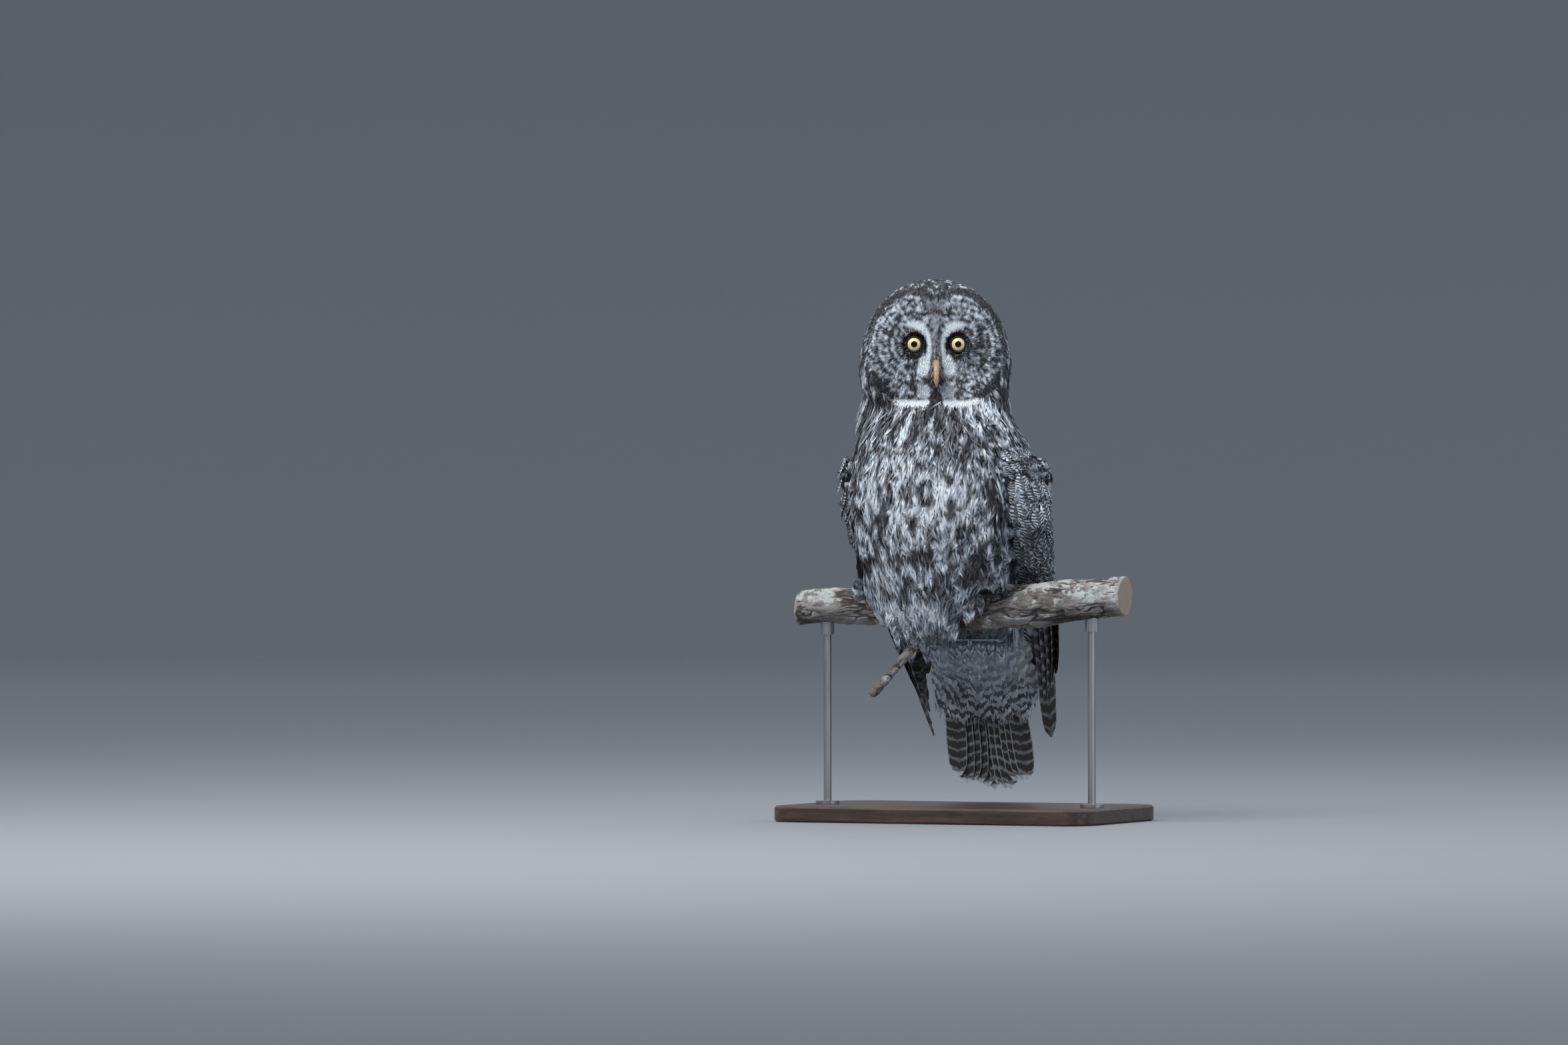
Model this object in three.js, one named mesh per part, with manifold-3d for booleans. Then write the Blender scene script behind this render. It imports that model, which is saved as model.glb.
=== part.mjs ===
// A great grey owl, life size, perched on a cut length of branch that a plain display stand holds up.
// Millimetres, +Z up. The breast faces -Y, the branch runs along X, and the head is turned to the owl's left.
import * as THREE from "three";
import { mergeVertices } from "three/addons/utils/BufferGeometryUtils.js";
import Module from "manifold-3d";

const wasm = await Module();
wasm.setup();

// Driving dimensions
const gap = 0.35; // kept between pieces that meet
const headTurn = THREE.MathUtils.degToRad(24);
const crownZ = 686;
const eyeZ = 600;
const headCutZ = 524;
const neckCutZ = 492;
const tailTipZ = 36;

// Horizontal sections of the plumage from the vent up to the nape: height, middle x and y,
// half width, and depth in front of and behind the middle
const bodySections = [
  { z: 226, x: 0, y: 24, half: 62, front: 52, back: 50 },
  { z: 242, x: 0, y: 24, half: 94, front: 78, back: 72 },
  { z: 262, x: 0, y: 22, half: 112, front: 88, back: 85 },
  { z: 302, x: 0, y: 18, half: 125, front: 103, back: 101 },
  { z: 350, x: 0, y: 7, half: 129, front: 110, back: 109 },
  { z: 400, x: 0, y: -2, half: 133, front: 109, back: 111 },
  { z: 442, x: -2, y: -7, half: 129, front: 104, back: 107 },
  { z: 466, x: -4, y: -11, half: 122, front: 97, back: 101 },
  { z: 490, x: -7, y: -17, half: 110, front: 86, back: 93 },
  { z: 514, x: -10, y: -19, half: 100, front: 70, back: 86 },
  { z: 560, x: -10, y: -16, half: 96, front: 50, back: 86 },
];

// Head, measured from a point between the eyes' level and the axis of the skull
const headMiddle = new THREE.Vector3(-10, -16, eyeZ);
const skull = { middle: -30, half: 98.5, up: crownZ - eyeZ + 30, down: 72, depth: 94, power: 2.1 };
const face = { front: 70, sideFall: 0.00203, topFall: 0.003, dish: 8, dishRadius: 60, ridge: 5 };
const eye = { apart: 27.6, radius: 12.5, opening: 8.9, sunk: 53, lid: 1.5 };

// Wing, left side: points of its outer face at heights from the shoulder to the tip,
// on the front edge (f), the middle (m) and the back edge (b)
const wingSlices = [
  { z: 486, fx: 78, fy: -48, mx: 98, my: 4, bx: 62, by: 64 },
  { z: 462, fx: 98, fy: -56, mx: 116, my: 2, bx: 66, by: 84 },
  { z: 420, fx: 104, fy: -52, mx: 127, my: 6, bx: 58, by: 103 },
  { z: 380, fx: 102, fy: -38, mx: 130, my: 16, bx: 48, by: 113 },
  { z: 340, fx: 97, fy: -12, mx: 126, my: 34, bx: 40, by: 118 },
  { z: 300, fx: 86, fy: 34, mx: 115, my: 66, bx: 32, by: 122 },
  { z: 250, fx: 80, fy: 60, mx: 104, my: 92, bx: 30, by: 126 },
  { z: 200, fx: 72, fy: 92, mx: 96, my: 116, bx: 42, by: 138 },
  { z: 150, fx: 70, fy: 118, mx: 88, my: 138, bx: 56, by: 152 },
  { z: 104, fx: 74, fy: 140, mx: 84, my: 150, bx: 70, by: 158 },
];
const wing = { thick: 9, edgeThick: 3.5, slabEnd: 0.72, vaneThick: 0.5, tilt: 0.55, sunk: 1.6, layer: 1.9 };

// Tiers of wing feathers from the shoulder down, in shares of the wing's width (s) and length (t)
const wingTiers = [
  { count: 8, firstS: 0.28, lastS: 0.93, rootT: 0.47, tipT: 0.78, half: 11 },
  { count: 6, firstS: 0.1, lastS: 0.92, rootT: 0.38, tipT: 0.57, half: 15.5 },
  { count: 5, firstS: 0.13, lastS: 0.88, rootT: 0.26, tipT: 0.43, half: 18 },
  { count: 4, firstS: 0.16, lastS: 0.84, rootT: 0.14, tipT: 0.3, half: 21 },
  { count: 3, firstS: 0.22, lastS: 0.78, rootT: 0.07, tipT: 0.2, half: 25 },
];
const primaries = { count: 5, rootT: 0.5, tipT: 1, stagger: 0.06, half: 12, layer: 1.05 };

// Tail: the line of its middle, and the feathers counted from the middle pair outwards
const tail = {
  root: [0, 103, 232], tip: [0, 160, tailTipZ], pairs: 6, half: 15.5, thick: 0.6, layer: 0.95, arch: 1.2,
  rootSpread: 6.6, tipSpread: 8.6, outerShort: 3.2,
};
const rump = [
  { z: 148, y: 135, half: 36, front: 9, back: 3 },
  { z: 180, y: 121, half: 50, front: 14, back: 7 },
  { z: 226, y: 102, half: 58, front: 19, back: 11 },
  { z: 258, y: 92, half: 50, front: 18, back: 14 },
];
const tailCoverts = [
  { side: -1, count: 6, rootZ: 226, tipZ: 158, spread: 50, half: 12, off: 17 },
  { side: -1, count: 5, rootZ: 246, tipZ: 182, spread: 44, half: 13, off: 20.5 },
  { side: 1, count: 5, rootZ: 236, tipZ: 168, spread: 38, half: 12, off: 10.5 },
];

// Branch: middle height and radius along x
const branchSections = [
  { x: -204, y: 2, z: 267, r: 21.5 },
  { x: -150, y: -2, z: 272, r: 22 },
  { x: -70, y: 1, z: 271, r: 24.5 },
  { x: 0, y: 0, z: 269, r: 26.5 },
  { x: 70, y: 0, z: 270, r: 28 },
  { x: 130, y: -2, z: 275, r: 28 },
  { x: 240, y: 3, z: 285, r: 25 },
];
const twig = { from: [-12, -12, 252], bend: [-44, -24, 212], to: [-88, -36, 159], r: 7.5, tipR: 5.6 };
const leg = { apart: 31, top: 342, topR: 19, ankleR: 13, y: 6 };
const foot = { toeR: 7.2, pocketR: 47, pocketHalf: 70, clawR: 3, turn: 1.5, clawTurn: 0.85 };
const toes = [
  { name: "front_inner", side: -1, turn: 1, lean: -16 },
  { name: "front_middle", side: -1, turn: 1, lean: 2 },
  { name: "back_outer", side: 1, turn: 0.9, lean: 19 },
  { name: "back_inner", side: 1, turn: 0.8, lean: -6 },
];
const base = { length: 430, width: 270, thick: 20, corner: 34, bevel: 2.5, x: 12, y: 26 };
const rod = { x: [-165, 196], r: 5, flangeR: 15, flangeThick: 4, collarR: 8.5, collarLength: 24 };

const plumage = new THREE.MeshStandardMaterial({ color: 0x6f7684, roughness: 0.9 });
const faceFeathers = new THREE.MeshStandardMaterial({ color: 0x858d9a, roughness: 0.9 });
const flightFeathers = new THREE.MeshStandardMaterial({ color: 0x3d3f47, roughness: 0.8 });
const iris = new THREE.MeshStandardMaterial({ color: 0xe6d98a, roughness: 0.15 });
const horn = new THREE.MeshStandardMaterial({ color: 0xc9a06a, roughness: 0.45 });
const darkHorn = new THREE.MeshStandardMaterial({ color: 0x24211f, roughness: 0.4 });
const bark = new THREE.MeshStandardMaterial({ color: 0x7d7a78, roughness: 0.95 });
const stainedWood = new THREE.MeshStandardMaterial({ color: 0x3a2c24, roughness: 0.5 });
const steel = new THREE.MeshStandardMaterial({ color: 0x8b8e92, roughness: 0.35, metalness: 1 });

// Moves every vertex of a geometry to where place(point) puts it
function warped(geometry, place) {
  const position = geometry.getAttribute("position");
  const point = new THREE.Vector3();
  for (let i = 0; i < position.count; i++) {
    point.fromBufferAttribute(position, i);
    const moved = place(point);
    position.setXYZ(i, moved.x, moved.y, moved.z);
  }
  return geometry;
}

// A geometry as a manifold solid, turned the right way out
function solid(geometry) {
  const plain = new THREE.BufferGeometry().setAttribute("position", geometry.getAttribute("position"));
  plain.setIndex(geometry.index);
  const merged = mergeVertices(plain, 1e-3);
  const corners = merged.index.array;
  const faces = [];
  for (let i = 0; i < corners.length; i += 3) {
    const [a, b, c] = corners.slice(i, i + 3);
    if (a !== b && b !== c && c !== a) faces.push(a, b, c);
  }
  const vertProperties = merged.getAttribute("position").array;
  const build = (triVerts) => new wasm.Manifold(new wasm.Mesh({ numProp: 3, vertProperties, triVerts }));
  const made = build(new Uint32Array(faces));
  if (made.volume() > 0) return made;
  for (let i = 0; i < faces.length; i += 3) [faces[i + 1], faces[i + 2]] = [faces[i + 2], faces[i + 1]];
  return build(new Uint32Array(faces));
}

function joined(solids) {
  return solids.reduce((sum, next) => sum.add(next));
}

function largest(made) {
  return made.decompose().reduce((best, next) => (next.volume() > best.volume() ? next : best));
}

// A manifold solid as a named mesh
function piece(name, made, material) {
  const { numProp, vertProperties, triVerts } = largest(made).getMesh();
  const points = new Float32Array((vertProperties.length / numProp) * 3);
  for (let i = 0; i < points.length / 3; i++) {
    points.set(vertProperties.subarray(i * numProp, i * numProp + 3), i * 3);
  }
  const geometry = new THREE.BufferGeometry().setAttribute("position", new THREE.BufferAttribute(points, 3));
  geometry.setIndex(new THREE.BufferAttribute(triVerts, 1));
  geometry.computeVertexNormals();
  const mesh = new THREE.Mesh(geometry, material);
  mesh.name = name;
  return mesh;
}

// Smooth value of a key between the rows of a table that is ordered by its key "along"
function between(rows, along, at, key) {
  const rising = rows[rows.length - 1][along] > rows[0][along];
  const passed = (row) => (rising ? row[along] <= at : row[along] >= at);
  let i = 0;
  while (i < rows.length - 2 && passed(rows[i + 1])) i++;
  const value = (n) => rows[THREE.MathUtils.clamp(n, 0, rows.length - 1)][key];
  const place = (n) => rows[THREE.MathUtils.clamp(n, 0, rows.length - 1)][along];
  const span = place(i + 1) - place(i);
  const t = THREE.MathUtils.clamp((at - place(i)) / span, 0, 1);
  const slope = (n) => {
    const width = place(n + 1) - place(n - 1);
    return width === 0 ? 0 : ((value(n + 1) - value(n - 1)) / width) * span;
  };
  const [a, b, c, d] = [value(i), value(i + 1), slope(i), slope(i + 1)];
  return a * (2 * t ** 3 - 3 * t ** 2 + 1) + b * (3 * t ** 2 - 2 * t ** 3) + c * (t ** 3 - 2 * t ** 2 + t) + d * (t ** 3 - t ** 2);
}

// Closed loft: place(share, right, ahead) takes a share from 0 to 1 and a point of the unit disc
function loft(around, along, place) {
  return solid(warped(new THREE.CylinderGeometry(1, 1, 1, around, along), (p) => place(p.y + 0.5, p.x, p.z)));
}

// Round tube through points, with a radius at each share of its length
function tube(points, radiusAt, around, along) {
  const line = new THREE.CatmullRomCurve3(points.map((p) => new THREE.Vector3(...p)));
  const frames = line.computeFrenetFrames(along, false);
  return loft(around, along, (share, right, ahead) => {
    const n = Math.round(share * along);
    const r = radiusAt(share);
    return line.getPointAt(share).addScaledVector(frames.normals[n], right * r).addScaledVector(frames.binormals[n], ahead * r);
  });
}

// How far forward the facial disc lies at a place beside and above the eyes' level
function faceFront(across, up) {
  const fall = face.sideFall * across ** 2 + face.topFall * up ** 2;
  const fromEye = Math.hypot(Math.abs(across) - eye.apart, up * 0.9);
  const dish = face.dish * Math.max(0, 1 - (fromEye / face.dishRadius) ** 2);
  const ridge = face.ridge * Math.exp(-((across / 8) ** 2)) * Math.exp(-(((up + 12) / 42) ** 4));
  return face.front - fall - dish + ridge;
}

// Turns a point of the head's own frame, across, forward and up, into the bird's frame
function inHead(across, forward, up) {
  const place = new THREE.Vector3(across, -forward, up).applyAxisAngle(new THREE.Vector3(0, 0, 1), headTurn);
  return place.add(headMiddle);
}

function rounded(value, power) {
  return Math.sign(value) * Math.abs(value) ** (2 / power);
}

function headSolid() {
  const shape = new THREE.SphereGeometry(1, 34, 17);
  return solid(
    warped(shape, (p) => {
      const polar = Math.PI * (Math.acos(THREE.MathUtils.clamp(p.y, -1, 1)) / Math.PI) ** 1.3;
      const about = Math.atan2(p.z, p.x);
      const side = Math.sin(polar) * Math.cos(about);
      const rise = Math.sin(polar) * Math.sin(about);
      const across = skull.half * rounded(side, skull.power);
      const up = skull.middle + (rise > 0 ? skull.up : skull.down) * rounded(rise, skull.power);
      const dome = skull.depth * rounded(Math.cos(polar), skull.power);
      return inHead(across, Math.min(dome, faceFront(across, up)), up);
    }),
  );
}

function eyeMiddle(side) {
  return inHead(side * eye.apart, eye.sunk, 0);
}

function eyeball(side, grow = 0) {
  const ball = new THREE.SphereGeometry(eye.radius + grow, 16, 9);
  const middle = eyeMiddle(side);
  return solid(ball.rotateX(Math.PI / 2).translate(middle.x, middle.y, middle.z));
}

function eyelid(side, grow = 0) {
  const ring = new THREE.TorusGeometry(eye.opening + eye.lid * 0.6, eye.lid + grow, 4, 12).rotateX(Math.PI / 2);
  const forward = Math.sqrt(eye.radius ** 2 - eye.opening ** 2);
  ring.rotateZ(headTurn);
  const middle = inHead(side * eye.apart, eye.sunk + forward, 0);
  return solid(ring.translate(middle.x, middle.y, middle.z));
}

// Bill: points are forward and up in the head's frame, each with a half width and a half depth
const upperBill = [
  { f: 62, up: -25, w: 5.6, d: 6.5 },
  { f: 76, up: -27, w: 5.4, d: 6.4 },
  { f: 83, up: -35, w: 4.6, d: 5.6 },
  { f: 84.5, up: -44, w: 3.2, d: 4.0 },
  { f: 81.5, up: -54, w: 0.5, d: 0.6 },
];
const lowerBill = [
  { f: 62, up: -42, w: 4.4, d: 3.2 },
  { f: 72, up: -44.5, w: 4.0, d: 2.8 },
  { f: 77, up: -48.5, w: 2.6, d: 2.0 },
  { f: 77.5, up: -52, w: 0.5, d: 0.5 },
];

function mandible(rows, grow = 0) {
  const line = new THREE.CatmullRomCurve3(rows.map((row) => new THREE.Vector3(0, row.f, row.up)));
  const along = 8;
  return loft(10, along, (share, right, ahead) => {
    const middle = line.getPoint(share);
    const tangent = line.getTangent(share);
    const n = share * (rows.length - 1);
    const i = Math.min(Math.floor(n), rows.length - 2);
    const size = (key) => THREE.MathUtils.lerp(rows[i][key], rows[i + 1][key], n - i) + grow;
    const up = middle.z + ahead * size("d") * tangent.y;
    const forward = middle.y - ahead * size("d") * tangent.z;
    return inHead(right * size("w"), forward, up);
  });
}

function nostril(side) {
  const place = inHead(side * 5, 80, -29);
  return solid(new THREE.SphereGeometry(1.3, 8, 6).translate(place.x, place.y, place.z));
}

function bodySolid() {
  const [low, high] = [bodySections[0].z, bodySections[bodySections.length - 1].z];
  return loft(32, 18, (share, right, ahead) => {
    const z = low + (high - low) * share;
    const at = (key) => between(bodySections, "z", z, key);
    const depth = ahead > 0 ? at("front") : at("back");
    const place = new THREE.Vector3(at("x") + right * at("half"), at("y") - ahead * depth, z);
    place.z += skirtLift(place);
    return place;
  });
}

// The skirt of belly feathers hangs over the branch on the right side and ends on top of it on the left
function skirtLift(place) {
  const toLeft = THREE.MathUtils.smoothstep(place.x, 8, 104);
  const inFront = THREE.MathUtils.smoothstep(-place.y, -24, 6);
  const low = THREE.MathUtils.clamp((322 - place.z) / (322 - bodySections[0].z), 0, 1);
  return 70 * toLeft * inFront * low;
}

// A thin curved plate, split into triangles alike on both faces.
// place(across, along, inner) takes shares from -1 to 1 and 0 to 1, and 0 or 1 for the outer or inner face
function plate(acrossSteps, rows, place) {
  const alongSteps = rows.length - 1;
  const grid = new THREE.PlaneGeometry(2, 1, acrossSteps, alongSteps);
  const flat = grid.getAttribute("position");
  const count = flat.count;
  const points = new Float32Array(count * 6);
  const faces = [];
  for (let i = 0; i < count; i++) {
    const along = rows[Math.floor(i / (acrossSteps + 1))];
    for (const inner of [0, 1]) place(flat.getX(i), along, inner).toArray(points, (i + inner * count) * 3);
  }
  const corners = grid.index.array;
  for (let i = 0; i < corners.length; i += 3) {
    const [a, b, c] = corners.slice(i, i + 3);
    faces.push(a, b, c, c + count, b + count, a + count);
  }
  const wide = acrossSteps + 1;
  const rim = [];
  for (let i = 0; i < acrossSteps; i++) rim.push(i);
  for (let i = 0; i < alongSteps; i++) rim.push(i * wide + acrossSteps);
  for (let i = acrossSteps; i > 0; i--) rim.push(alongSteps * wide + i);
  for (let i = alongSteps; i > 0; i--) rim.push(i * wide);
  rim.forEach((a, i) => {
    const b = rim[(i + 1) % rim.length];
    faces.push(a, b, a + count, b, b + count, a + count);
  });
  const geometry = new THREE.BufferGeometry().setAttribute("position", new THREE.BufferAttribute(points, 3));
  geometry.setIndex(faces);
  return solid(geometry);
}

const shortVane = [0, 0.15, 0.6, 1];
const longVane = [0, 0.15, 0.5, 0.8, 1];

// Width of a vane along its length: narrow at the quill, broad, then rounded towards the tip
function vaneWidth(along, tipWidth = 0.34) {
  const quill = THREE.MathUtils.lerp(0.3, 1, Math.min(1, along / 0.4));
  const end = THREE.MathUtils.clamp((along - 0.72) / 0.28, 0, 1);
  return quill * (1 - (1 - tipWidth) * end ** 2.2);
}

// A point of the left wing's outer face: s from the front edge to the back edge, t from shoulder to tip
function wingPoint(s, t) {
  const z = THREE.MathUtils.lerp(wingSlices[0].z, wingSlices[wingSlices.length - 1].z, t);
  const at = (key) => between(wingSlices, "z", z, key);
  const [f, m, b] = [(1 - s) * (1 - 2 * s), 4 * s * (1 - s), s * (2 * s - 1)];
  return new THREE.Vector3(at("fx") * f + at("mx") * m + at("bx") * b, at("fy") * f + at("my") * m + at("by") * b, z);
}

function wingNormal(s, t) {
  const inside = THREE.MathUtils.clamp(t, 0.02, 0.98);
  const across = wingPoint(s + 0.01, inside).sub(wingPoint(s - 0.01, inside));
  const down = wingPoint(s, inside + 0.01).sub(wingPoint(s, inside - 0.01));
  return down.cross(across).normalize();
}

function mirroredX(place, side) {
  return new THREE.Vector3(side * place.x, place.y, place.z);
}

// A plate along the wing's outer face, wider than the slab by a margin and from one depth to another
function wingPlate(side, margin, depthAt, shiftY = 0) {
  const rows = Array.from({ length: 10 }, (_, i) => i / 9);
  return plate(6, rows, (across, along, inner) => {
    const past = (share, by) => (Math.abs(share) > 0.99 ? Math.sign(share) * by : 0);
    const s = (across + 1) / 2 + past(across, margin);
    const t = along * wing.slabEnd + past(2 * along - 1, margin);
    const rim = THREE.MathUtils.clamp(5 * Math.min((1 - Math.abs(across)) / 2, along, 1 - along), 0, 1);
    const thick = THREE.MathUtils.lerp(wing.edgeThick, wing.thick, rim);
    const place = wingPoint(s, t).addScaledVector(wingNormal(s, t), -depthAt(thick, inner));
    return mirroredX(place.setY(place.y + shiftY), side);
  });
}

function wingSlab(side) {
  return wingPlate(side, 0, (thick, inner) => inner * thick);
}

// The space that a wing takes out of the body: its slab, and all that lies outside it
function wingSpace(side) {
  const socketAt = (shiftY) => wingPlate(side, 0.001, (thick, inner) => (inner ? thick + 2 * gap : -1), shiftY);
  const outside = wingPlate(side, 0.045, (thick, inner) => (inner ? 0.8 : -45));
  return joined([-2 * gap, 0, 2 * gap].map(socketAt)).add(outside);
}

// One wing feather between two places of the wing, its root sunk in the slab
function wingVane(side, root, tip, half, lift, tilt, rows) {
  return plate(2, rows, (across, along, inner) => {
    const [middle, t] = [THREE.MathUtils.lerp(root[0], tip[0], along), THREE.MathUtils.lerp(root[1], tip[1], along)];
    const unit = wingPoint(middle + 0.05, t).distanceTo(wingPoint(middle - 0.05, t)) / 0.1;
    const s = middle + (across * half * vaneWidth(along)) / unit;
    const rise = THREE.MathUtils.lerp(-wing.sunk, lift, Math.min(1, along / 0.15));
    const height = rise + across * tilt - inner * wing.vaneThick;
    return mirroredX(wingPoint(s, t).addScaledVector(wingNormal(s, t), height), side);
  });
}

function wingSolid(side) {
  const parts = [wingSlab(side)];
  for (const [k, tier] of wingTiers.entries()) {
    for (let i = 0; i < tier.count; i++) {
      const share = i / (tier.count - 1);
      const s = THREE.MathUtils.lerp(tier.firstS, tier.lastS, share);
      const t = tier.tipT - 0.03 * Math.abs(2 * share - 1);
      parts.push(wingVane(side, [s, tier.rootT], [s, t], tier.half, 1.3 + wing.layer * k, wing.tilt, shortVane));
    }
  }
  for (let i = 0; i < primaries.count; i++) {
    const root = [0.12 + 0.1 * i, primaries.rootT];
    const tip = [0.34 + 0.07 * i, primaries.tipT - primaries.stagger * i];
    parts.push(wingVane(side, root, tip, primaries.half, -primaries.layer * i, 0, longVane));
  }
  return joined(parts);
}

const tailAxis = new THREE.Vector3(...tail.tip).sub(new THREE.Vector3(...tail.root));
const tailUp = new THREE.Vector3(0, -tailAxis.z, tailAxis.y).normalize();

// One tail feather or covert: across the tail, and off its middle plane towards the back
function tailVane(rootX, tipX, rootZ, tipZ, half, off, rows) {
  const pointAt = (z) => (tail.root[2] - z) / (tail.root[2] - tail.tip[2]);
  return plate(2, rows, (across, along, inner) => {
    const down = pointAt(THREE.MathUtils.lerp(rootZ, tipZ, along));
    const x = THREE.MathUtils.lerp(rootX, tipX, along) + across * half * vaneWidth(along, 0.42);
    const height = off - inner * tail.thick - tail.arch * (x / 60) ** 2;
    return new THREE.Vector3(...tail.root).addScaledVector(tailAxis, down).setX(x).addScaledVector(tailUp, height);
  });
}

function rumpSolid(grow = 0, reach = 0) {
  const [low, high] = [rump[0].z - grow, rump[rump.length - 1].z + grow];
  return loft(20, 8, (share, right, ahead) => {
    const z = THREE.MathUtils.lerp(low, high, share);
    const at = (key) => between(rump, "z", z, key) + grow;
    const depth = ahead > 0 ? at("front") : at("back") + reach;
    return new THREE.Vector3(right * at("half"), between(rump, "z", z, "y") - ahead * depth, z);
  });
}

function tailSolid() {
  const parts = [rumpSolid()];
  for (let pair = 0; pair < tail.pairs; pair++) {
    for (const side of [-1, 1]) {
      const layer = 2 * pair + (side + 1) / 2;
      const rootX = side * tail.rootSpread * (pair + 0.5);
      const tipX = side * tail.tipSpread * (pair + 0.4);
      const tipZ = tail.tip[2] + (tail.outerShort * pair ** 2) / tail.pairs;
      parts.push(tailVane(rootX, tipX, 208, tipZ, tail.half - pair * 0.5, -tail.layer * layer + 5, longVane));
    }
  }
  for (const row of tailCoverts) {
    for (let i = 0; i < row.count; i++) {
      const x = row.spread * ((2 * i) / (row.count - 1) - 1);
      const off = row.side * (row.off + (i % 2) * 1.1);
      const short = 14 * (x / 50) ** 2;
      parts.push(tailVane(x * 0.8, x, row.rootZ, row.tipZ + short, row.half, off, shortVane));
    }
  }
  return joined(parts);
}

// The branch's surface at x: bumps run round it and wander along it
function branchPoint(x, grow, a, b) {
  const at = (key) => between(branchSections, "x", x, key);
  const size = Math.hypot(a, b);
  const about = Math.atan2(b, a);
  const bumps = 0.9 * Math.sin(3 * about + x / 21) + 0.7 * Math.sin(5 * about - x / 13);
  const r = size * (at("r") + bumps + grow);
  return new THREE.Vector3(x, at("y") + r * Math.cos(about), at("z") + r * Math.sin(about));
}

function branch(grow = 0) {
  const [left, right] = [branchSections[0].x, branchSections[branchSections.length - 1].x];
  return loft(14, 19, (share, a, b) => branchPoint(THREE.MathUtils.lerp(left - grow, right + grow, share), grow, a, b));
}

function twigSolid(grow = 0) {
  const radius = (share) => THREE.MathUtils.lerp(twig.r, twig.tipR, share) + grow;
  return tube([twig.from, twig.bend, twig.to], radius, 9, 7);
}

// A place near the branch: x along it, turned by an angle from its top, and off its axis by a radius
function roundBranch(x, angle, r) {
  const at = (key) => between(branchSections, "x", x, key);
  return [x, at("y") + Math.sin(angle) * (at("r") + r), at("z") + Math.cos(angle) * (at("r") + r)];
}

function toePoints(side, toe) {
  return [0.05, 0.35, 0.7, 1].map((share) => {
    const x = side * leg.apart + toe.lean * (0.3 + 0.7 * share);
    return roundBranch(x, toe.side * foot.turn * toe.turn * share, foot.toeR + 1.4);
  });
}

function toeSolid(side, toe, grow = 0) {
  return tube(toePoints(side, toe), (share) => foot.toeR * (1 - 0.22 * share) + grow, 7, 4);
}

function clawSolid(side, toe) {
  const x = side * leg.apart + toe.lean;
  const start = foot.turn * toe.turn;
  const lengthwise = [-0.15, 0.35, 0.7, 1];
  const points = lengthwise.map((share) => {
    const r = THREE.MathUtils.lerp(foot.toeR + 2, 1.4, share ** 2);
    return roundBranch(x, toe.side * (start + foot.clawTurn * share), r);
  });
  return tube(points, (share) => foot.clawR * (1 - 0.88 * share), 6, 4);
}

function legSolid(side, grow = 0) {
  const bottom = [side * leg.apart, 0, between(branchSections, "x", side * leg.apart, "z") + 20];
  const points = [bottom, [side * leg.apart, leg.y * 0.5, 312], [side * (leg.apart + 4), leg.y, leg.top + grow]];
  const shank = tube(points, (share) => THREE.MathUtils.lerp(leg.ankleR, leg.topR, share) + grow, 12, 4);
  return joined([shank, ...toes.map((toe) => toeSolid(side, toe, grow))]);
}

function ranged(low, high) {
  const box = new THREE.BoxGeometry(900, 900, high - low).translate(0, 0, (low + high) / 2);
  return solid(box);
}

function cylinderAlongX(r, half, y, z) {
  return solid(new THREE.CylinderGeometry(r, r, 2 * half, 18).rotateZ(Math.PI / 2).translate(0, y, z));
}

function baseSolid() {
  const [w, d, c] = [base.length / 2 - base.bevel, base.width / 2 - base.bevel, base.corner];
  const outline = new THREE.Shape();
  outline.moveTo(-w + c, -d).lineTo(w - c, -d).absarc(w - c, -d + c, c, -Math.PI / 2, 0);
  outline.absarc(w - c, d - c, c, 0, Math.PI / 2).absarc(-w + c, d - c, c, Math.PI / 2, Math.PI);
  outline.absarc(-w + c, -d + c, c, Math.PI, 1.5 * Math.PI);
  const flat = base.thick - 2 * base.bevel;
  const options = { depth: flat, bevelThickness: base.bevel, bevelSize: base.bevel, bevelSegments: 1, curveSegments: 4 };
  return solid(new THREE.ExtrudeGeometry(outline, options).translate(base.x, base.y, base.bevel));
}

function rodSolid(x) {
  const bottom = base.thick + gap;
  const top = between(branchSections, "x", x, "z");
  const stacked = (r, low, high, sides) =>
    solid(new THREE.CylinderGeometry(r, r, high - low, sides).rotateX(Math.PI / 2).translate(x, 0, (low + high) / 2));
  const under = top - between(branchSections, "x", x, "r");
  return joined([
    stacked(rod.r, bottom, top, 12),
    stacked(rod.flangeR, bottom, bottom + rod.flangeThick, 18),
    stacked(rod.collarR, under - rod.collarLength * 0.6, top, 14),
  ]);
}

const bird = new THREE.Group();
const perch = new THREE.Group();
const owl = new THREE.Group();
owl.add(bird, perch);

const wood = joined([branch(), twigSolid()]);
const woodSpace = joined([branch(gap), twigSolid(gap)]);
perch.add(piece("perch_branch", wood, bark));

// Body: one form parted at the neck and under the face
const skullForm = headSolid();
const form = joined([bodySolid(), skullForm]);
const footSpace = cylinderAlongX(foot.pocketR, foot.pocketHalf, 0, 269);
let torso = form.intersect(ranged(0, neckCutZ - gap / 2)).subtract(footSpace).subtract(woodSpace);
torso = torso.subtract(rumpSolid(gap, 60));
for (const side of [-1, 1]) torso = torso.subtract(wingSpace(side)).subtract(legSolid(side, gap));
bird.add(piece("torso", torso, plumage));
bird.add(piece("neck", form.intersect(ranged(neckCutZ + gap / 2, headCutZ - gap / 2)), plumage));

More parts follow.
